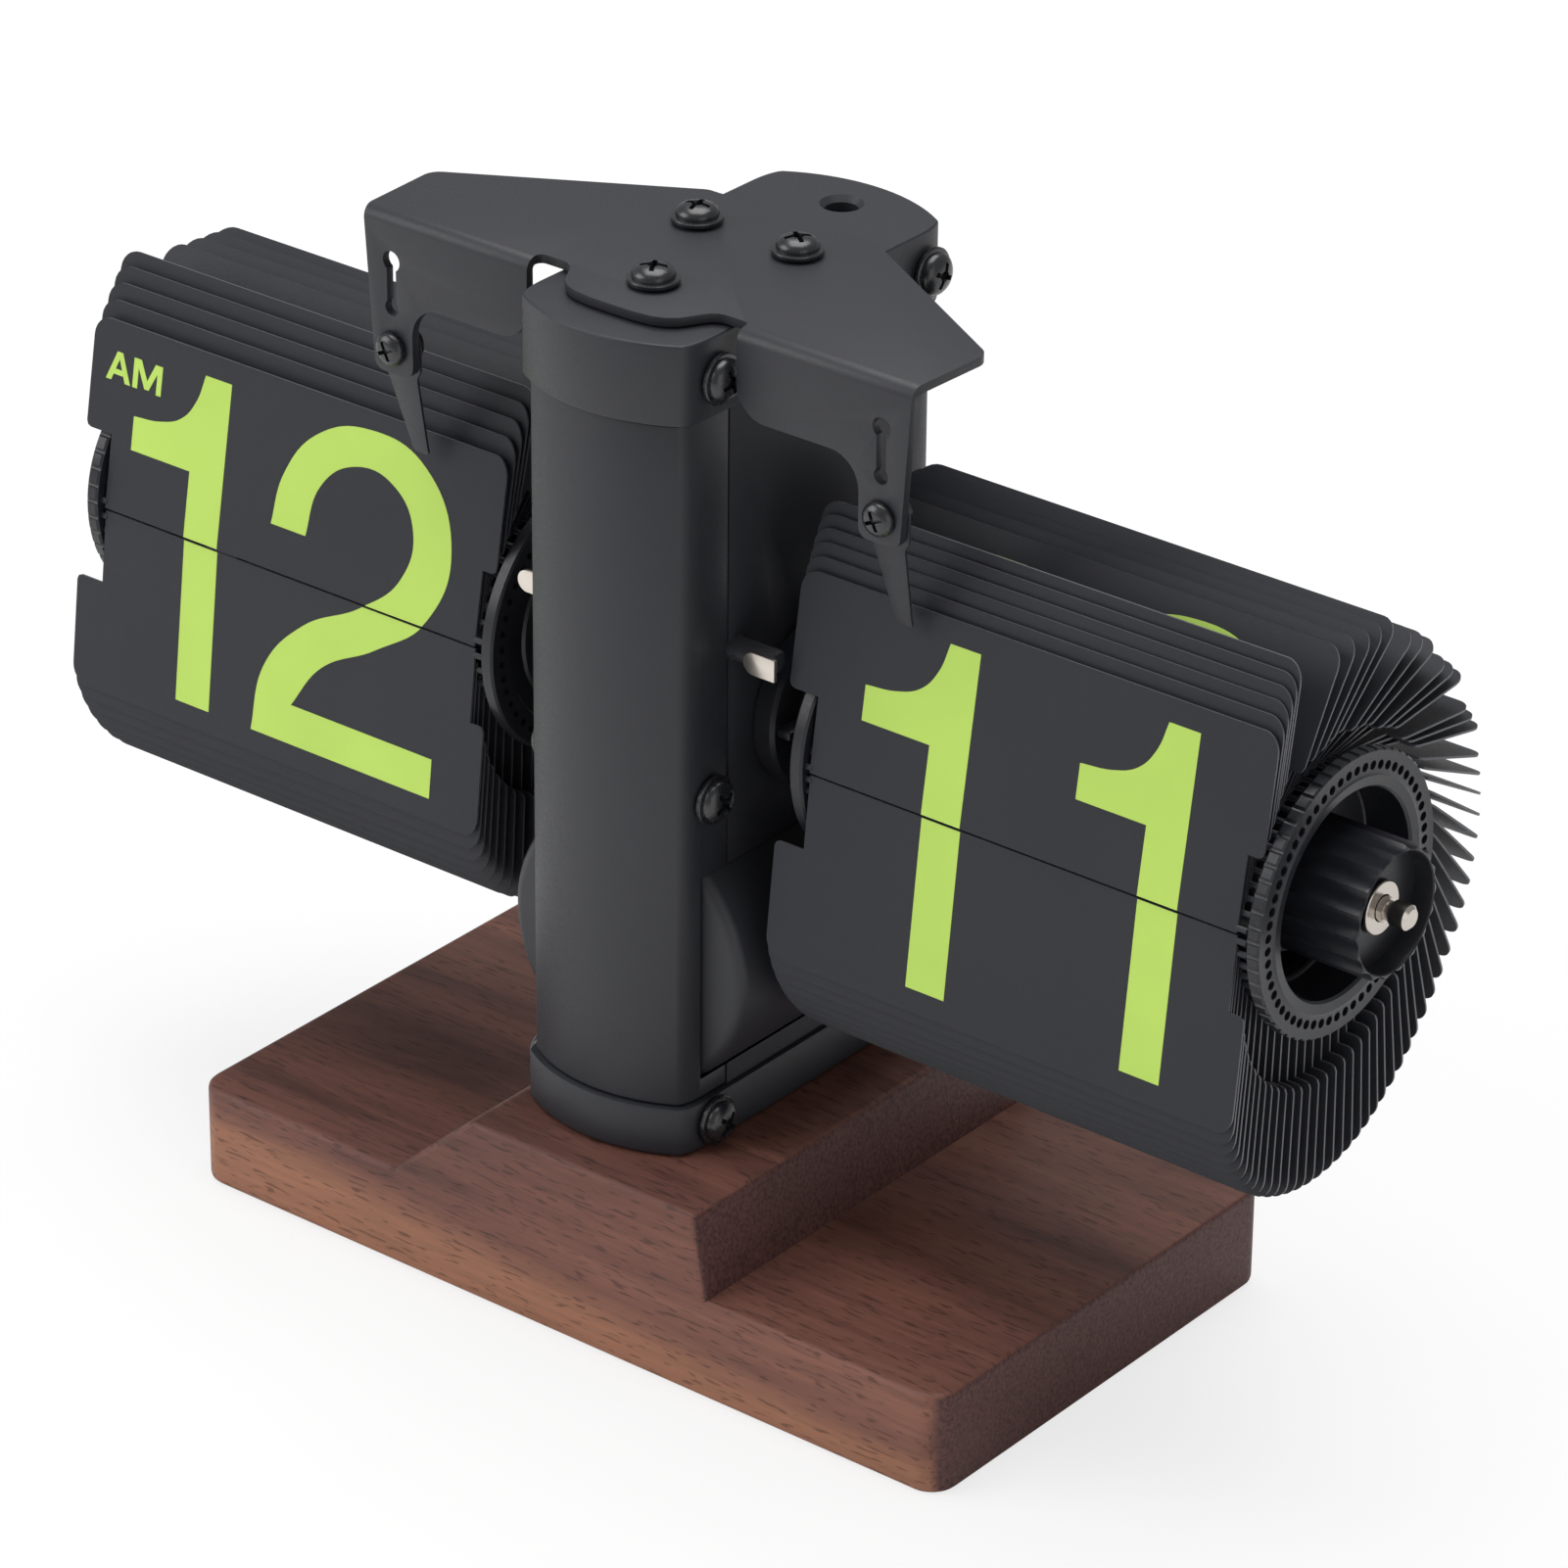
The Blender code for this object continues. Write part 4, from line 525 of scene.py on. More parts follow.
class CLOCK_OT_base(bpy.types.Operator):
    """Saws the stepped walnut base from one block and rounds its edges."""

    bl_idname = "clock.base"
    bl_label = "Walnut base"

    def execute(self, context):
        edge_round = context.scene.clock_sizes.base_edge
        corner_radius = 4.0
        drop_selection()
        bpy.ops.mesh.primitive_cube_add(size=1.0)
        base = context.object
        base.name = "walnut_block"
        base.data.transform(
            Matrix.Translation((0, 0, deck_height / 2 * mm))
            @ Matrix.Diagonal((base_length * mm, base_depth * mm, deck_height * mm, 1.0)))
        bpy.ops.object.mode_set(mode="EDIT")
        for x in (step_left_foot, step_right_foot):
            bpy.ops.mesh.select_all(action="SELECT")
            bpy.ops.mesh.bisect(plane_co=(x * mm, 0, 0), plane_no=(1, 0, 0))
        middle = (step_left_foot + step_right_foot) / 2
        choose("FACE", lambda f: f.normal.z > 0.9 and abs(f.calc_center_median().x - middle * mm) < mm)
        bpy.ops.mesh.extrude_region_move(
            TRANSFORM_OT_translate={"value": (0, 0, (step_height - deck_height) * mm)})
        work = bmesh.from_edit_mesh(base.data)
        for vert in work.verts:
            if vert.co.z > (deck_height + 1) * mm:
                vert.co.x = (step_left_top if vert.co.x < 0 else step_right_top) * mm
        bmesh.update_edit_mesh(base.data)

        def upright_corner(edge):
            a, b = (v.co for v in edge.verts)
            at_end = abs(abs(a.x) - base_length / 2 * mm) < 0.01 * mm and abs(a.x - b.x) < 0.01 * mm
            return at_end and abs(a.z - b.z) > 2 * mm

        choose("EDGE", upright_corner)
        bpy.ops.mesh.bevel(offset=corner_radius * mm, segments=10, affect="EDGES")

        def convex(edge):
            sharp = len(edge.link_faces) == 2 and edge.calc_face_angle(0.0) >= math.radians(20)
            return sharp and edge.is_convex

        choose("EDGE", convex)
        bpy.ops.mesh.bevel(offset=edge_round * mm, segments=3, affect="EDGES", clamp_overlap=True)
        bpy.ops.object.mode_set(mode="OBJECT")
        for y in base_screw_places.values():
            cut_with(base, rod(4.3, (0, y, -2.0), "+Z", 7.2, 32), rod(2.2, (0, y, 0.0), "+Z", 29.0, 24))
        dressed(base, "oiled_walnut", "stand", "walnut", "walnut_base")
        return {"FINISHED"}


# Column

def column_plan(half, grow, seam=None):
    """The column's plan in mm: bulged front and rear, straight sides, square corners.

    A seam in front of the middle gives the plan before it alone.
    """
    radius = (column_half ** 2 + column_bulge ** 2) / (2 * column_bulge)
    spread = math.degrees(math.asin(min(1.0, half / (radius + grow))))
    front = arc((0, column_front - column_bulge + radius), radius + grow, -90 - spread, -90 + spread, 20)
    rear = arc((0, column_rear + column_bulge - radius), radius + grow, 90 - spread, 90 + spread, 20)
    return front + (rear if seam is None else [(half, seam), (-half, seam)])


def column_block(name, grow, low, high, corner, seam=None):
    """A column length: the plan with rounded upright corners, raised from one level to another."""
    half, reach = column_half + grow, 4.5
    obj = placed(flat_shape(name, column_plan(half, grow, seam)), (0, 0, low))
    bpy.ops.object.mode_set(mode="EDIT")

    def is_corner(vert):
        at_front = vert.co.y < (column_front + reach) * mm
        at_rear = seam is None and vert.co.y > (column_rear - reach) * mm
        return abs(abs(vert.co.x) - half * mm) < 0.02 * mm and (at_front or at_rear)

    choose("VERT", is_corner)
    bpy.ops.mesh.bevel(offset=corner * mm, segments=8, affect="VERTICES", clamp_overlap=False)
    bpy.ops.mesh.select_all(action="SELECT")
    bpy.ops.mesh.extrude_region_move(TRANSFORM_OT_translate={"value": (0, 0, (high - low) * mm)})
    bpy.ops.mesh.select_all(action="SELECT")
    bpy.ops.mesh.normals_make_consistent(inside=False)
    bpy.ops.object.mode_set(mode="OBJECT")
    return obj


def round_rim(obj, level, width, segments):
    """Rounds the rim edges that lie at one level, in mm."""
    pick(obj)
    bpy.ops.object.mode_set(mode="EDIT")

    def is_rim(edge):
        at_level = all(abs(v.co.z - level * mm) < 0.01 * mm for v in edge.verts)
        return at_level and edge.calc_face_angle(0.0) > math.radians(30)

    choose("EDGE", is_rim)
    bpy.ops.mesh.bevel(offset=width * mm, segments=segments, affect="EDGES", clamp_overlap=True)
    bpy.ops.object.mode_set(mode="OBJECT")
    return obj


class CLOCK_OT_column(bpy.types.Operator):
    """Builds the column: cap, front cover, rear cover with its posts, and the collar on the base."""

    bl_idname = "clock.column"
    bl_label = "Column"

    def execute(self, context):
        corner = context.scene.clock_sizes.column_corner
        tube_room = (tube_radius + gap, (0, tube_front - gap, tube_z), "+Y", 90.0, 96)
        # The tube's room is cut from all that it passes, and the rear cover is hollow
        wall, hole_y = 1.8, 22.5
        before_seam = ((-30, -60, 0), (30, seam_y + gap, 200))
        cap = column_block("column_cap", cap_grow, shell_top, cap_top, corner + cap_grow)
        round_rim(cap, cap_top, 2.4, 6)
        round_rim(cap, shell_top, 0.35, 2)
        hole = rod(2.2, (0, hole_y, cap_top - 6.0), "+Z", 10.0, 40)
        sink_profile = [(0, 0), (2.1, 0), (3.1, 1.1), (0, 1.1)]
        sink = turned("sink", sink_profile, (0, hole_y, cap_top - 0.9), "+Z", 40)
        cut_with(cap, hole, sink)
        dressed(cap, "satin_powder_coat", "stand", "black_plastic", "top_cap")

        front = column_block("front_cover", 0.0, shell_bottom + gap, shell_top - gap, corner, seam=seam_y)
        cut_with(front, rod(*tube_room))
        round_edges(front, 0.25)
        dressed(front, "satin_powder_coat", "stand", "black_plastic", "front_shell")

        rear = column_block("rear_cover", 0.0, tube_z, shell_top - gap, corner)
        core = column_block("core", -wall, tube_z - 5.0, shell_top + 5.0, corner - wall)
        shaft_hole = rod(3.3, (-30, axis_y, axis_z), "+X", 60.0, 40)
        cut_with(rear, core, block(*before_seam), rod(*tube_room), shaft_hole)
        round_edges(rear, 0.2)
        posts = [rear]
        for side, axis in ((-1, "-X"), (1, "+X")):
            profile = [(0, 0), (1.9, 0), (1.6, 1.2), (1.6, 7.2), (1.3, 7.7), (0, 7.7)]
            posts.append(turned("post", profile, (side * (column_half - 0.7), -14.4, 96.2), axis, 32))
        rear = joined("rear_cover", posts)
        dressed(rear, "satin_powder_coat", "stand", "black_plastic", "rear_shell")

        collar = column_block(
            "collar_block", collar_grow, step_height + gap, shell_bottom, corner + collar_grow)
        round_rim(collar, step_height + gap, 2.6, 6)
        round_rim(collar, shell_bottom, 0.3, 2)
        saddle = column_block("saddle", 0.0, shell_bottom - 2.0, tube_z - tube_radius / 2, corner)
        cut_with(saddle, block(*before_seam))
        apply_modifier(collar, "BOOLEAN", object=saddle, operation="UNION", solver="EXACT")
        bpy.data.objects.remove(saddle)
        cut_with(collar, rod(*tube_room))
        dressed(collar, "satin_powder_coat", "stand", "black_plastic", "bottom_collar")
        return {"FINISHED"}


# Screws

def cross_slots(low, high, spin):
    """Two blocks round Z, a quarter turn apart, that cut a cross recess."""
    slots = [block(low, high), block(low, high)]
    for slot, angle in zip(slots, (spin, spin + 90.0)):
        slot.data.transform(Matrix.Rotation(math.radians(angle), 4, "Z"))
    return slots


def screw_head(name, washer, head, crown, recess):
    """A washer-faced pan screw round Z with a cross recess, its washer on z = 0."""
    profile = [
        (0, -3.5), (1.4, -3.5), (1.4, 0.3), (washer - 0.15, 0.3), (washer, 0.45), (washer, 0.8),
        (washer - 0.15, 0.95), (head, 1.0), (head, 1.4), (head * 0.95, 1.75), (head * 0.8, 2.15),
        (head * 0.55, 2.45), (crown, 2.58), (0, 2.6)]
    screw = turned(name, profile, (0, 0, 0), "+Z", 48)
    cross = cross_slots((-recess, -0.32, 1.45), (recess, 0.32, 3.4), 0.0)
    well = turned("well", [(0, 1.2), (0.5, 1.2), (0.95, 3.4), (0, 3.4)], (0, 0, 0), "+Z", 16)
    return cut_with(screw, *cross, well)


class CLOCK_OT_screws(bpy.types.Operator):
    """Turns one washer-faced cross-recess screw and copies it to every screw of the column and bracket."""

    bl_idname = "clock.screws"
    bl_label = "Pan screws"

    def execute(self, context):
        pattern = screw_head("pan_screw", 3.4, 2.8, 0.8, 1.75)
        front_y = -19.3
        # Each pair's name, the face it sits on, its place and how far its cross is turned
        rows = [
            ("cap_front_screw", column_half + cap_grow, front_y, cap_screw_z, 20.0),
            ("cap_rear_screw", column_half + cap_grow, 23.0, cap_screw_z, 65.0),
            ("shell_screw", column_half, front_y, 76.7, 35.0),
            ("collar_screw", column_half + collar_grow, front_y, 30.3, 50.0)]
        for name, face, y, z, spin in rows:
            for side, side_name, axis in ((-1, "left_", "-X"), (1, "right_", "+X")):
                place = Matrix.Translation(Vector((side * face, y, z)) * mm) @ axis_turns[axis]
                node = side_name + name
                twin = copy_of(pattern, node + "_head", place @ Matrix.Rotation(math.radians(spin), 4, "Z"))
                dressed(twin, "black_oxide_steel", "stand", "dark_screw", node)
        for name, x, y, spin in (
                ("left", -8.1, 3.4, 10.0), ("right", 8.1, 3.4, 55.0), ("front", 0.0, -15.0, 30.0)):
            place = Matrix.Translation(Vector((x, y, bracket_top)) * mm)
            node = "bracket_screw_" + name
            twin = copy_of(pattern, node + "_head", place @ Matrix.Rotation(math.radians(spin), 4, "Z"))
            dressed(twin, "black_oxide_steel", "stand", "dark_screw", node)
        bpy.data.objects.remove(pattern)
        profile = [
            (0, 3.0), (3.6, 3.0), (4.0, 3.4), (4.0, 4.9), (1.9, 4.9), (1.9, 30.6), (1.5, 30.8), (0, 30.8)]
        for name, y in base_screw_places.items():
            screw = turned("base_screw_" + name + "_head", profile, (0, y, 0), "+Z", 48)
            slot = block((-2.4, y - 0.4, 2.0), (2.4, y + 0.4, 4.2))
            cut_with(screw, slot, block((-0.4, y - 2.4, 2.0), (0.4, y + 2.4, 4.2)))
            dressed(screw, "zinc_plated_steel", "stand", "bright_steel", "base_screw_" + name)
        return {"FINISHED"}


# Battery tube and lid

class CLOCK_OT_battery(bpy.types.Operator):
    """Turns the battery tube with its rounded front and the coin-slot lid."""

    bl_idname = "clock.battery"
    bl_label = "Battery tube"

    def execute(self, context):
        low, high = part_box("battery_tube")
        depth = (high.y - low.y) / mm
        front = low.y / mm
        inner = tube_radius - tube_wall
        profile = [
            (0, tube_wall), (inner, tube_wall), (inner, depth), (tube_radius, depth), (tube_radius, 1.6),
            (tube_radius - 0.25, 0.8), (tube_radius - 0.8, 0.22), (tube_radius - 1.6, 0), (0, 0)]
        tube = turned("battery_sleeve", profile, (0, front, tube_z), "+Y", 128)
        dressed(tube, "satin_powder_coat", "stand", "black_plastic", "battery_tube")
        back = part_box("battery_lid")[1].y / mm
        seat = front + depth
        thick = back - seat
        plug = inner - gap
        profile = [
            (0, thick - 0.8), (12.0, thick - 0.8), (12.6, thick), (tube_radius - 0.9, thick),
            (tube_radius - 0.2, thick - 0.4), (tube_radius, thick - 1.0), (tube_radius, gap), (plug, gap),
            (plug, gap - 3.0), (0, gap - 3.0)]
        lid = turned("battery_door", profile, (0, seat, tube_z), "+Y", 128)
        slot = block((-8, back - 2.0, tube_z - 1.0), (8, back + 2, tube_z + 1.0))
        cut_with(lid, round_edges(slot, 0.9, 4))
        dressed(lid, "moulded_abs", "lid", "black_plastic", "battery_lid")
        return {"FINISHED"}


# Top bracket

class CLOCK_OT_bracket(bpy.types.Operator):
    """Folds the sheet bracket: top plate, front flanges with their ears, keyholes and rounded bends."""

    bl_idname = "clock.bracket"
    bl_label = "Top bracket"

    def execute(self, context):
        bend = context.scene.clock_sizes.bend_radius
        top, front = bracket_top, bracket_front
        notch_x, notch_y, half = 16.8, -16.8, 44.6
        ear_top, ear_tip, ear_left, ear_right, tip_round = 131.0, 120.5, 36.0, 42.5, 1.5
        # The tongue swells over the column's bulged front and draws in to its shoulders
        tongue = [
            (6.2, -22.9), (7.9, -22.2), (9.1, -21.2), (9.9, -19.9), (10.6, -18.6), (11.3, -17.6),
            (12.2, -17.0), (13.2, notch_y), (notch_x - 1.2, notch_y),
            *arc((notch_x - 1.0, notch_y - 1.0), 1.0, 90.0, 0.0, 4)]
        tip = [(0.0, -23.3), (3.5, -23.25)]
        outer = [
            (notch_x, front), (half - 0.6, front), *arc((half - 2.5, -7.0), 2.5, 0.0, 62.0, 6),
            *arc((12.5, 8.9), 3.6, 55.0, 75.0, 3), (0.0, 12.6)]
        right = tip + tongue + outer
        left = [(-x, y) for x, y in reversed(right[1:-1])]
        plate = placed(flat_shape("bracket_plate", right + left), (0, 0, top))
        corner = 4.5
        ear = [
            (notch_x, top), *arc((notch_x + corner, ear_top + corner), corner, 180.0, 270.0, 8),
            *arc((ear_left - corner, ear_top - corner), corner, 90.0, 0.0, 8),
            *arc((ear_left + tip_round, ear_tip + tip_round), tip_round, 180.0, 270.0, 4),
            *arc((ear_right - tip_round, ear_tip + tip_round), tip_round, 270.0, 360.0, 4),
            (half - 0.6, top)]
        pieces = [plate]
        for side in (1, -1):
            flange = flat_shape("flange", [(side * x, z) for x, z in ear])
            # The outline's Y becomes the flange's Z
            flange.data.transform(Matrix(((1, 0, 0, 0), (0, 0, 1, front * mm), (0, 1, 0, 0), (0, 0, 0, 1))))
            pieces.append(flange)
        bracket = joined("folded_bracket", pieces)
        pick(bracket)
        bpy.ops.object.mode_set(mode="EDIT")
        bpy.ops.mesh.select_all(action="SELECT")
        bpy.ops.mesh.remove_doubles(threshold=0.01 * mm)
        bpy.ops.mesh.normals_make_consistent(inside=False)
        work = bmesh.from_edit_mesh(bracket.data)
        up_face = max(work.faces, key=lambda f: abs(f.normal.z) * f.calc_area())
        if up_face.normal.z < 0:
            bpy.ops.mesh.flip_normals()

        def is_bend(edge):
            spots = [(v.co.y / mm - front, v.co.z / mm - top) for v in edge.verts]
            return all(abs(y) < 0.01 and abs(z) < 0.01 for y, z in spots)

        choose("EDGE", is_bend)
        bpy.ops.mesh.bevel(offset=bend * mm, segments=6, affect="EDGES", clamp_overlap=True)
        bpy.ops.object.mode_set(mode="OBJECT")
        apply_modifier(
            bracket, "SOLIDIFY", thickness=bracket_thickness * mm, offset=-1.0, use_even_offset=True)
        # Each ear's keyhole and, below it, the hole of the finger's screw
        key_top, key_bottom, before, through = 136.0, 130.0, front - 2.0, 5.0
        for x in (finger_x, -finger_x):
            cut_with(
                bracket, rod(1.4, (x, before, key_top), "+Y", through, 24),
                block((x - 0.75, before, key_bottom), (x + 0.75, before + through, key_top)),
                rod(1.1, (x, before, key_bottom - 0.4), "+Y", through, 24),
                rod(finger_screw_hole, (x, before, finger_screw_z), "+Y", through, 24))
        round_edges(bracket, 0.3, 3, 40.0)
        dressed(bracket, "satin_powder_coat", "stand", "black_sheet", "top_bracket", angle=40.0)
        return {"FINISHED"}


# Detent fingers

class CLOCK_OT_fingers(bpy.types.Operator):
    """Stamps the detent fingers, bends them back to the cards and adds their cross-recess screws."""

    bl_idname = "clock.fingers"
    bl_label = "Detent fingers"

    def execute(self, context):
        root_y, root, bend_top, bend_low, bend_z = -17.8, 3.3, 121.5, 119.5, 120.5
        slope = 3.6 / 12.9
        outline = [
            *arc((0, finger_screw_z), root, 0.0, 180.0, 12), (-root, 121.0), (-2.5, 119.6), (-1.35, 108.9),
            *arc((-0.75, 108.1), 0.6, 180.0, 270.0, 3), *arc((0.75, 108.1), 0.6, 270.0, 360.0, 3),
            (1.35, 108.9), (2.5, 119.6), (root, 121.0)]
        screw_profile = [
            (0, 1.6), (1.1, 1.55), (1.8, 1.3), (2.2, 0.85), (2.3, 0.5), (2.3, 0.3), (1.1, 0.3), (1.1, -2.2),
            (2.3, -2.2), (2.6, -2.4), (2.6, -3.1), (2.3, -3.4), (0, -3.4)]
        for side, name in ((-1, "left"), (1, "right")):
            finger = flat_shape("finger", outline)
            pick(finger)
            bpy.ops.object.mode_set(mode="EDIT")
            for level in (122.0, 121.2, 120.5, 119.8, 119.0, 114.0):
                bpy.ops.mesh.select_all(action="SELECT")
                bpy.ops.mesh.bisect(plane_co=(0, level * mm, 0), plane_no=(0, 1, 0))
            bpy.ops.object.mode_set(mode="OBJECT")
            for vert in finger.data.vertices:
                height = vert.co.y / mm
                # The strip is flat behind the ear and leans back below it, with a soft bend between
                lean = slope * max(0.0, bend_z - height)
                if bend_low < height < bend_top:
                    lean = slope * 0.25 * (bend_top - height) ** 2
                vert.co = Vector((vert.co.x / mm + side * finger_x, root_y + lean, height)) * mm
            apply_modifier(finger, "SOLIDIFY", thickness=finger_thickness * mm, offset=0.0)
            hole = rod(finger_screw_hole, (side * finger_x, -30.0, finger_screw_z), "+Y", 20.0, 24)
            cut_with(finger, hole)
            round_edges(finger, 0.08, 2)
            finger.name = name + "_finger_strip"
            dressed(finger, "satin_powder_coat", "stand", "black_sheet", name + "_detent_finger")
            screw = turned(name + "_finger_fastener", screw_profile, (0, 0, 0), "+Z", 40)
            cut_with(screw, *cross_slots((-1.35, -0.26, 0.75), (1.35, 0.26, 2.6), 25.0))
            placed(screw, (side * finger_x, bracket_front, finger_screw_z), "-Y")
            dressed(screw, "black_oxide_steel", "stand", "dark_screw", name + "_finger_screw")
        return {"FINISHED"}


# Bearings, retainer clips, shaft

class CLOCK_OT_bearings(bpy.types.Operator):
    """Builds the ribbed bearing bosses, the round-ended retainer clips, the shaft and its clips."""

    bl_idname = "clock.bearings"
    bl_label = "Bearings and shaft"

    def execute(self, context):
        for side, name, axis in ((-1, "left", "-X"), (1, "right", "+X")):
            profile = [
                (3.3, 6.3), (6.2, 6.3), (6.5, 6.0), (6.5, 3.3), (11.0, 3.3), (11.5, 2.8), (11.5, 0.3),
                (3.3, 0.3)]
            boss = turned("boss", profile, (side * column_half, axis_y, axis_z), axis, 72, closed=True)
            ribs = [boss]
            for i in range(4):
                rib = block((6.2, -0.6, 3.2), (10.6, 0.6, 5.4))
                round_edges(rib, 0.3)
                rib.data.transform(Matrix.Rotation(math.radians(90.0 * i), 4, "Z"))
                ribs.append(placed(rib, (side * column_half, axis_y, axis_z), axis))
            boss = joined(name + "_ribbed_boss", ribs)
            dressed(boss, "moulded_abs", "stand", "black_plastic", name + "_bearing_boss")
            outline = [*arc((-0.95, 0), 1.55, 90.0, 270.0, 12), (2.5, -1.55), (2.5, 1.55)]
            tab = flat_shape(name + "_clip_tab", outline, 0.6)
            round_edges(tab, 0.08)
            low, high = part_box(name + "_retainer_clip")
            middle = (low + high) / 2
            placed(tab, (middle.x / mm, high.y / mm, middle.z / mm), "-Y")
            dressed(tab, "bright_steel_strip", "stand", "bright_steel", name + "_retainer_clip")
        low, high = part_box("main_shaft")
        length = (high.x - low.x) / mm
        profile = [
            (0, 0), (1.25, 0), (1.65, 0.4), (1.65, length - 3.4), (1.3, length - 3.35), (1.3, length - 2.6),
            (1.65, length - 2.55), (1.65, length - 0.45), (1.2, length), (0, length)]
        shaft = turned("turned_shaft", profile, (low.x / mm, axis_y, axis_z), "+X", 48)
        dressed(shaft, "nickel_plated_steel", "stand", "bright_steel", "main_shaft")
        for name in ("left", "right"):
            low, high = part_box(name + "_shaft_clip")
            wide = (high.x - low.x) / mm
            profile = [(1.8, 0), (3.4, 0), (3.5, 0.1), (3.5, wide - 0.1), (3.4, wide), (1.8, wide)]
            clip = turned(name + "_washer", profile, (low.x / mm, axis_y, axis_z), "+X", 48, closed=True)
            dressed(clip, "nickel_plated_steel", "stand", "bright_steel", name + "_shaft_clip")
        return {"FINISHED"}


# Drums

def ring_cutter(count, radius, circle, start, length, axis_start, axis):
    """A ring of small rods as one cutter."""
    rods = []
    pattern = rod(radius, (0, 0, start), "+Z", length, 10)
    for i in range(count):
        turn = math.radians(360.0 * (i + 0.5) / count)
        spot = Matrix.Translation(Vector((circle * math.cos(turn), circle * math.sin(turn), 0)) * mm)
        rods.append(copy_of(pattern, "pin_room", spot))
    bpy.data.objects.remove(pattern)
    return placed(joined("pin_rooms", rods), axis_start, axis)


class CLOCK_OT_drums(bpy.types.Operator):
    """Builds the drums: dished outer flanges with windows, inner flanges, pin sockets and cores."""

    bl_idname = "clock.drums"
    bl_label = "Drums"

    def execute(self, context):
        for kind, drum in drums.items():
            body = kind + "_drum"
            outward, inward, outer, inner = (
                drum[key] for key in ("outward", "inward", "outer_rim", "inner_rim"))
            end = (drum["far"], axis_y, axis_z)
            profile = [
                (shaft_room, -7.0), (13.5, -7.0), (13.7, -6.8), (13.7, -0.5), (14.0, -0.15), (15.3, 0.0),
                (15.6, -0.15), (17.6 if outer == large_rim else 16.9, -0.15), (outer - 0.25, -0.1),
                (outer, -0.35), (outer, -1.7), (outer - 0.3, -2.0), (15.0, -2.0), (15.0, -8.3),
                (shaft_room, -8.3)]
            flange = turned(body + "_dish", profile, end, outward, 120, closed=True)
            windows = []
            for middle in (0.0, 180.0):
                ring = arc((0, 0), 13.0, middle - 38, middle + 38, 12)
                ring += arc((0, 0), 9.4, middle + 32, middle - 32, 10)
                window = flat_shape("window", ring, 4.0)
                window.data.transform(Matrix.Translation((0, 0, -9.5 * mm)))
                windows.append(placed(window, end, outward))
            cut_with(flange, *windows)
            cut_with(
                flange, ring_cutter(drum["count"], 0.64, pin_circle, -0.9, 3.0, end, outward),
                ring_cutter(drum["count"], 0.42, outer + 0.12, -3.0, 5.0, end, outward))
            dressed(flange, "moulded_abs", body, "black_plastic", kind + "_outer_flange")
            near = (drum["near"], axis_y, axis_z)
            profile = [
                (shaft_room, 0), (12.0, 0), (12.3, -0.4), (14.6, -0.4), (14.9, 0), (inner - 0.3, 0),
                (inner, -0.3), (inner, -1.7), (inner - 0.3, -2.0), (shaft_room, -2.0)]
            disc = turned(body + "_disc", profile, near, inward, 120, closed=True)
            cut_with(disc, ring_cutter(drum["count"], 0.52, pin_circle, -0.9, 3.0, near, inward))
            dressed(disc, "moulded_abs", body, "black_plastic", kind + "_inner_flange")
            low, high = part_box(kind + "_core")
            length = (high.x - low.x) / mm
            core = turned(
                body + "_core_tube", [(7.7, 0), (9.0, 0), (9.0, length), (7.7, length)],
                (low.x / mm, axis_y, axis_z), "+X", 64, closed=True)
            dressed(core, "moulded_abs", body, "black_plastic", kind + "_core")
        return {"FINISHED"}


class CLOCK_OT_knob(bpy.types.Operator):
    """Grows the fluted setting knob with its open front."""

    bl_idname = "clock.knob"
    bl_label = "Setting knob"

    def execute(self, context):
        flutes = context.scene.clock_sizes.flutes
        low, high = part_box("setting_knob")
        length = (high.x - low.x) / mm
        sides = flutes * 8

        def fluted(radius, depth, height):
            ring = []
            for i in range(sides):
                turn = 2 * math.pi * i / sides
                reach = radius - depth * abs(math.cos(turn * flutes / 2))
                ring.append(Vector((reach * math.cos(turn), reach * math.sin(turn), height)) * mm)
            return ring

        rings = [
            circle_points(shaft_room, 0, sides), fluted(8.5, 0.45, 0), fluted(8.8, 0.8, 0.4),
            fluted(8.8, 0.8, length - 0.5), fluted(8.6, 0.45, length - 0.1),
            circle_points(8.1, length, sides), circle_points(7.95, length - 0.15, sides),
            circle_points(7.85, length - 0.5, sides), circle_points(7.85, length - 2.9, sides),
            circle_points(shaft_room, length - 2.9, sides)]
        rings.append(rings[0])
        knob = grown("fluted_knob", rings, closed=True)
        placed(knob, (low.x / mm, axis_y, axis_z), "+X")
        dressed(knob, "moulded_abs", "minute_drum", "black_plastic", "setting_knob", angle=28.0)
        return {"FINISHED"}


# Flap cards

def value_at(place, places, values):
    """The value at a place between the listed ones, and the end's value beyond them."""
    for i in range(len(places) - 1):
        if places[i] <= place <= places[i + 1]:
            share = (place - places[i]) / (places[i + 1] - places[i])
            return values[i] + share * (values[i + 1] - values[i])
    return values[0] if place < places[0] else values[-1]


def card_places(kind):
    """The matrices in metres that put each card round its drum, from the front upper card backwards."""
    drum = drums[kind]
    step = 360.0 / drum["count"]
    places = []
    for i in range(drum["count"]):
        pin = 180.0 - step / 2 - i * step
        y, z = pin_circle * math.cos(math.radians(pin)), pin_circle * math.sin(math.radians(pin))
        if z > 0:
            y += value_at(pin, shift_pins, shifts)
        spot = Vector((drum["left"] - 2.0, axis_y + y, axis_z + z)) * mm
        lean = math.radians(value_at(pin, fan_pins[kind], fan_leans[kind]))
        places.append((pin, Matrix.Translation(spot) @ Matrix.Rotation(lean, 4, "X")))
    return places


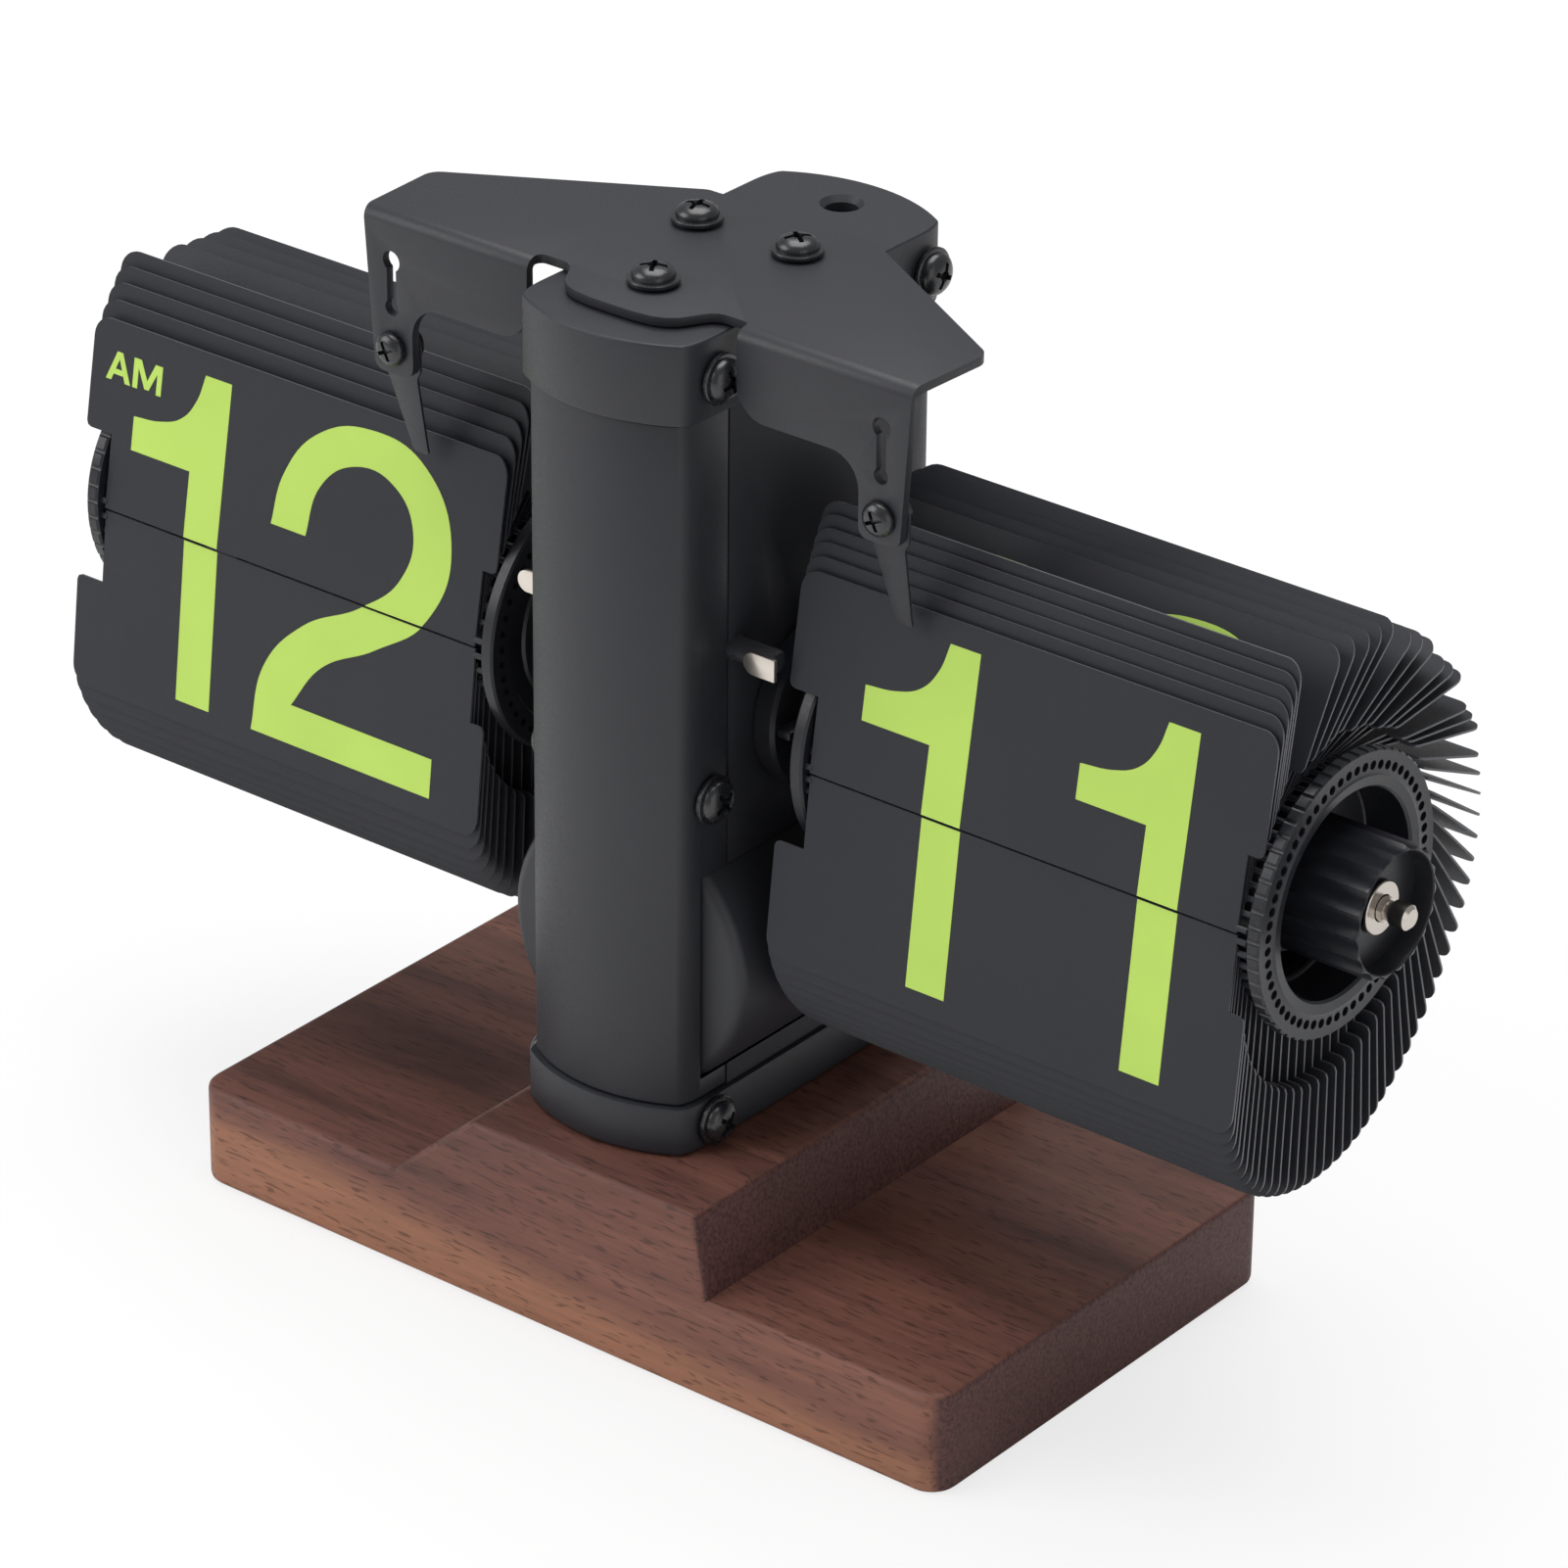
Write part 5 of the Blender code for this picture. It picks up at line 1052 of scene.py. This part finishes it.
def new_card(kind, sizes):
    """One die-cut card with its pins, flat in the XY plane: the pins lie on the X axis."""
    step = math.radians(360.0 / drums[kind]["count"])
    tail = pin_circle * math.sin(step / 2) - split_gap / 2
    top = card_height - tail
    left_notch, right_root, notch = 4.6, card_width - 2.3, 9.5
    drop_selection()
    bpy.ops.mesh.primitive_plane_add(size=1.0)
    card = bpy.context.object
    card.name = "card"
    card.data.transform(
        Matrix.Translation((card_width / 2 * mm, (top - tail) / 2 * mm, 0))
        @ Matrix.Diagonal((card_width * mm, (top + tail) * mm, 1.0, 1.0)))
    bpy.ops.object.mode_set(mode="EDIT")
    for place, normal in (
            ((left_notch, 0, 0), (1, 0, 0)), ((right_root, 0, 0), (1, 0, 0)), ((0, notch, 0), (0, 1, 0))):
        bpy.ops.mesh.select_all(action="SELECT")
        bpy.ops.mesh.bisect(plane_co=tuple(Vector(place) * mm), plane_no=normal)

    def beside_flange(face):
        middle = face.calc_center_median() / mm
        return middle.y < notch and (middle.x < left_notch or middle.x > right_root)

    choose("FACE", beside_flange)
    bpy.ops.mesh.delete(type="FACE")

    def at_side(vert):
        return vert.co.x < mm or vert.co.x > (card_width - 1) * mm

    choose("VERT", lambda v: v.co.y > (top - 0.1) * mm and at_side(v))
    bpy.ops.mesh.bevel(offset=sizes.card_corner * mm, segments=6, affect="VERTICES")
    choose("VERT", lambda v: abs(v.co.y - notch * mm) < 0.01 * mm and at_side(v))
    bpy.ops.mesh.bevel(offset=0.8 * mm, segments=2, affect="VERTICES")
    bpy.ops.mesh.select_all(action="SELECT")
    bpy.ops.mesh.dissolve_limited(angle_limit=math.radians(1.0))
    bpy.ops.object.mode_set(mode="OBJECT")
    apply_modifier(card, "SOLIDIFY", thickness=sizes.card_thickness * mm, offset=0.0)
    pins = [card]
    for x in (left_notch - 1.4, right_root - 0.2):
        pins.append(rod(0.4, (x, 0, 0), "+X", 1.6, 8))
    card = joined("card", pins)
    card.data.materials.append(finishes["matt_pvc_card"])
    card.data.materials.append(finishes["card_edge_painted_highlight"])
    # The edge faces take the paler finish, a painted highlight along the card edges
    for face in card.data.polygons:
        face.material_index = 0 if abs(face.normal.z) > 0.9 else 1
    return card


class CLOCK_OT_cards(bpy.types.Operator):
    """Cuts one card for each drum and copies it round the ring in four groups."""

    bl_idname = "clock.cards"
    bl_label = "Flap cards"

    def execute(self, context):
        sizes = context.scene.clock_sizes
        # Each group of cards that stand still ends at a place on the ring, in degrees
        group_ends = {"flaps_upper": 95, "flaps_rear": -50, "flaps_lower": -180}
        for kind in drums:
            pattern = new_card(kind, sizes)
            groups = {name: [] for name in ("front_flap", *group_ends)}
            for pin, place in card_places(kind):
                group = next(name for name, end in group_ends.items() if pin > end)
                if not groups["front_flap"]:
                    group = "front_flap"
                groups[group].append(copy_of(pattern, "card", place))
            bpy.data.objects.remove(pattern)
            for group, members in groups.items():
                cards = joined(f"{kind}_{group}_cards", members)
                body = kind + "_flap" if group == "front_flap" else "stand"
                dressed(cards, "matt_pvc_card", body, "card", f"{kind}_{group}")
        return {"FINISHED"}


# Numerals

# Outlines as (x, height, curved) points in mm from the split: a plain grotesque 1 and 2, and small letters
outlines = {
    "one": (
        (0.0, 9.43, 0), (0.0, 14.15, 0), (4.9, 14.75, 1), (8.4, 16.2, 1), (10.7, 19.1, 1), (12.0, 23.15, 0),
        (16.65, 23.15, 0), (16.65, -23.15, 0), (10.65, -23.15, 0), (10.65, 9.43, 0)),
    "two": (
        (0.0, 6.5, 0), (1.4, 13.8, 1), (6.4, 20.6, 1), (15.3, 23.75, 1), (25.2, 21.4, 1), (30.9, 11.6, 1),
        (28.0, 1.2, 1), (19.4, -5.6, 1), (10.2, -11.0, 1), (5.5, -17.6, 0), (30.3, -17.6, 0),
        (30.3, -23.15, 0), (-1.3, -23.15, 0), (0.3, -13.6, 1), (6.7, -6.0, 1), (16.6, -0.4, 1),
        (23.0, 5.5, 1), (24.2, 12.4, 1), (20.0, 17.6, 1), (13.2, 18.1, 1), (7.8, 13.8, 1), (6.1, 6.5, 0)),
    "a": (
        (0, 18.05, 0), (1.72, 22.15, 0), (2.68, 22.15, 0), (4.4, 18.05, 0), (3.45, 18.05, 0),
        (3.08, 18.98, 0), (1.32, 18.98, 0), (0.95, 18.05, 0)),
    "a_eye": ((1.62, 19.72, 0), (2.78, 19.72, 0), (2.2, 21.2, 0)),
    "m": (
        (0, 18.05, 0), (0, 22.15, 0), (1.3, 22.15, 0), (2.58, 19.5, 0), (3.86, 22.15, 0), (5.16, 22.15, 0),
        (5.16, 18.05, 0), (4.28, 18.05, 0), (4.28, 20.95, 0), (2.95, 18.3, 0), (2.2, 18.3, 0),
        (0.88, 20.95, 0), (0.88, 18.05, 0)),
}


def printed(name, marks, thickness):
    """Outlines, each with its left end, as one thin print on z = 0, smooth through the curved points."""
    curve = bpy.data.curves.new(name, "CURVE")
    curve.dimensions = "2D"
    curve.fill_mode = "BOTH"
    curve.extrude = thickness / 2 * mm
    curve.resolution_u = 10
    for mark, left in marks:
        spline = curve.splines.new("BEZIER")
        spline.bezier_points.add(len(outlines[mark]) - 1)
        spline.use_cyclic_u = True
        for point, (x, y, curved) in zip(spline.bezier_points, outlines[mark]):
            point.co = Vector((left + x, y, 0)) * mm
            point.handle_left_type = point.handle_right_type = "AUTO" if curved else "VECTOR"
    obj = bpy.data.objects.new(name, curve)
    bpy.context.scene.collection.objects.link(obj)
    pick(obj)
    bpy.ops.object.convert(target="MESH")
    obj = bpy.context.object
    obj.data.transform(Matrix.Translation((0, 0, thickness / 2 * mm)))
    bpy.ops.object.mode_set(mode="EDIT")
    bpy.ops.mesh.select_all(action="SELECT")
    bpy.ops.mesh.remove_doubles(threshold=0.001 * mm)
    bpy.ops.object.mode_set(mode="OBJECT")
    return obj


def half_of(obj, name, upper):
    """The part of a print above or below the split between two cards."""
    half = copy_of(obj, name, Matrix.Identity(4))
    pick(half)
    level = (split_gap / 2 + 0.05) * (1 if upper else -1) * mm
    bpy.ops.object.mode_set(mode="EDIT")
    bpy.ops.mesh.select_all(action="SELECT")
    bpy.ops.mesh.bisect(
        plane_co=(0, level, 0), plane_no=(0, 1, 0), use_fill=True, clear_inner=upper, clear_outer=not upper)
    bpy.ops.object.mode_set(mode="OBJECT")
    return half


class CLOCK_OT_numerals(bpy.types.Operator):
    """Prints the numerals on the cards, split at the gap between the upper and the lower card."""

    bl_idname = "clock.numerals"
    bl_label = "Numerals"

    def execute(self, context):
        sizes = context.scene.clock_sizes
        texts = {
            "hour": (("one", 8.3), ("two", 33.9), ("a", 2.7), ("a_eye", 2.7), ("m", 7.5)),
            "minute": (("one", 11.6), ("one", 44.7))}
        lift = sizes.card_thickness / 2

        def on_card(kind, card, side):
            """Lays a print on one face of a card of a drum."""
            tail = pin_circle * math.sin(math.radians(180.0 / drums[kind]["count"]))
            shift = Matrix.Translation(Vector((0, -tail, side * lift)) * mm)
            return card_places(kind)[card][1] @ shift

        for kind, marks in texts.items():
            whole = printed(kind + "_print", marks, sizes.ink_height)
            upper = half_of(whole, kind + "_upper_numerals", True)
            upper.data.transform(on_card(kind, 0, 1))
            dressed(upper, "screen_printed_ink", kind + "_flap", "card")
            lower = half_of(whole, kind + "_lower_numerals", False)
            # The lower card hangs with its back to the front, so its print is turned over
            lower.data.transform(on_card(kind, -1, -1) @ Matrix.Diagonal((1, -1, -1, 1)))
            dressed(lower, "screen_printed_ink", "stand", "card")
            bpy.data.objects.remove(whole)
        # The next numeral's top edge shows above the front cards
        behind = printed("behind_print", (("one", 9.5), ("two", 36.2)), sizes.ink_height)
        upper = half_of(behind, "minute_behind_numerals", True)
        upper.data.transform(on_card("minute", 6, 1))
        dressed(upper, "screen_printed_ink", "stand", "card")
        bpy.data.objects.remove(behind)
        return {"FINISHED"}


# Hidden works

class CLOCK_OT_works(bpy.types.Operator):
    """Finishes the solids that stay as they are: the movement, the cell and its contacts."""

    bl_idname = "clock.works"
    bl_label = "Movement and cell"

    def execute(self, context):
        kept = {
            "zinc_plated_steel": ("centre_plate", "gear_motor"),
            "rolled_brass": ("motor_pinion", "front_contact", "lid_contact"),
            "natural_acetal": ("minute_hub_gear", "hour_hub_gear", "idler_gear"),
            "solder_mask": ("driver_board",),
            "pvc_wire_sleeve": ("front_wire", "rear_wire"),
            "plain_cell_wrap": ("battery_cell",)}
        for finish, names in kept.items():
            for name in names:
                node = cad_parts[name]
                node.data.materials.clear()
                node.data.materials.append(finishes[finish])
        return {"FINISHED"}


# Stage

class CLOCK_OT_stage(bpy.types.Operator):
    """Lays the pale floor, hangs the soft lamps and stands the camera where the photograph was taken."""

    bl_idname = "clock.stage"
    bl_label = "Studio"

    def execute(self, context):
        scene = context.scene
        scene.view_settings.view_transform = "Standard"
        drop_selection()
        bpy.ops.mesh.primitive_plane_add(size=6.0)
        floor = context.object
        floor.name = "studio_floor"
        paper = bpy.data.materials.new("white_paper_sweep")
        paper.use_nodes = True
        tree = paper.node_tree
        shader = tree.nodes["Principled BSDF"]
        shader.inputs["Base Color"].default_value = linear("#f4f4f4")
        shader.inputs["Roughness"].default_value = 0.9
        shader.inputs["Specular IOR Level"].default_value = 0.1
        glow = add_node(tree, "ShaderNodeEmission", {"Color": (1, 1, 1, 1), "Strength": 1.0})
        rays = add_node(tree, "ShaderNodeLightPath")
        share = add_node(tree, "ShaderNodeMath", {
            0: rays.outputs["Is Camera Ray"], 1: 0.75}, operation="MULTIPLY")
        blend = add_node(tree, "ShaderNodeMixShader", {"Fac": share.outputs[0]})
        tree.links.new(shader.outputs["BSDF"], blend.inputs[1])
        tree.links.new(glow.outputs["Emission"], blend.inputs[2])
        tree.links.new(blend.outputs["Shader"], tree.nodes["Material Output"].inputs["Surface"])
        floor.data.materials.append(paper)
        world = bpy.data.worlds.new("studio")
        scene.world = world
        world.use_nodes = True
        sky = world.node_tree
        back = sky.nodes["Background"]
        back.inputs["Color"].default_value = (1.0, 1.0, 1.0, 1.0)
        rays = add_node(sky, "ShaderNodeLightPath")
        level = add_node(sky, "ShaderNodeMapRange", {
            "Value": rays.outputs["Is Camera Ray"], "To Min": 0.36, "To Max": 1.0})
        sky.links.new(level.outputs["Result"], back.inputs["Strength"])
        aim = Vector((0, 0, 0.07))
        for name, place, size, watts in (
                ("left_softbox", (-0.75, -0.75, 0.65), 0.8, 6.4),
                ("overhead_softbox", (-0.1, 0.2, 1.2), 1.0, 12.5),
                ("right_fill", (1.0, -0.4, 0.35), 0.7, 1.2)):
            lamp = bpy.data.lights.new(name, "AREA")
            lamp.size = size
            lamp.energy = watts
            holder = bpy.data.objects.new(name, lamp)
            scene.collection.objects.link(holder)
            holder.location = place
            holder.rotation_mode = "QUATERNION"
            holder.rotation_quaternion = (aim - Vector(place)).to_track_quat("-Z", "Y")
        # The photograph's view: a long lens from the front right, a little above
        azimuth, elevation, roll = math.radians(38.49), math.radians(27.54), math.radians(0.52)
        distance, shift_right, shift_up, middle_z = 929.7, 7.33, -11.71, 80
        focal_pixels, frame_pixels, sensor = 7361.9, 1601, 36.0
        ahead = math.cos(elevation)
        away = Vector((-math.sin(azimuth) * ahead, math.cos(azimuth) * ahead, -math.sin(elevation)))
        level_right = Vector((math.cos(azimuth), math.sin(azimuth), 0))
        level_up = level_right.cross(away)
        right = level_right * math.cos(roll) + level_up * math.sin(roll)
        up = -level_right * math.sin(roll) + level_up * math.cos(roll)
        aside = level_right * shift_right + level_up * shift_up
        place = (Vector((0, 0, middle_z)) - away * distance + aside) * mm
        lens = bpy.data.cameras.new("photo_view")
        lens.sensor_width = sensor
        lens.lens = sensor * focal_pixels / frame_pixels
        lens.clip_start = 0.01
        camera = bpy.data.objects.new("photo_view", lens)
        scene.collection.objects.link(camera)
        rotation = Matrix((right, up, -away)).transposed().to_4x4()
        camera.matrix_world = Matrix.Translation(place) @ rotation
        scene.camera = camera
        return {"FINISHED"}


class CLOCK_PT_panel(bpy.types.Panel):
    """Lists the clock's building steps in the sidebar."""

    bl_label = "Flip clock"
    bl_idname = "CLOCK_PT_panel"
    bl_space_type = "VIEW_3D"
    bl_region_type = "UI"
    bl_category = "Flip clock"

    def draw(self, context):
        for group in (context.scene.clock_sizes, context.scene.clock_colours):
            for name in group.__annotations__:
                self.layout.prop(group, name)
        for step in steps:
            self.layout.operator(step.bl_idname)


steps = (
    CLOCK_OT_base, CLOCK_OT_column, CLOCK_OT_screws, CLOCK_OT_battery, CLOCK_OT_bracket, CLOCK_OT_fingers,
    CLOCK_OT_bearings, CLOCK_OT_drums, CLOCK_OT_knob, CLOCK_OT_cards, CLOCK_OT_numerals, CLOCK_OT_works,
    CLOCK_OT_stage)
classes = (ClockSizes, ClockColours, *steps, CLOCK_PT_panel)


def register():
    for item in classes:
        bpy.utils.register_class(item)
    bpy.types.Scene.clock_sizes = bpy.props.PointerProperty(type=ClockSizes)
    bpy.types.Scene.clock_colours = bpy.props.PointerProperty(type=ClockColours)


def unregister():
    del bpy.types.Scene.clock_sizes
    del bpy.types.Scene.clock_colours
    for item in reversed(classes):
        bpy.utils.unregister_class(item)


def main():
    """Builds everything in order."""
    register()
    make_finishes(bpy.context.scene.clock_colours)
    for step in steps:
        group, name = step.bl_idname.split(".")
        getattr(getattr(bpy.ops, group), name)()


if __name__ == "__main__":
    main()
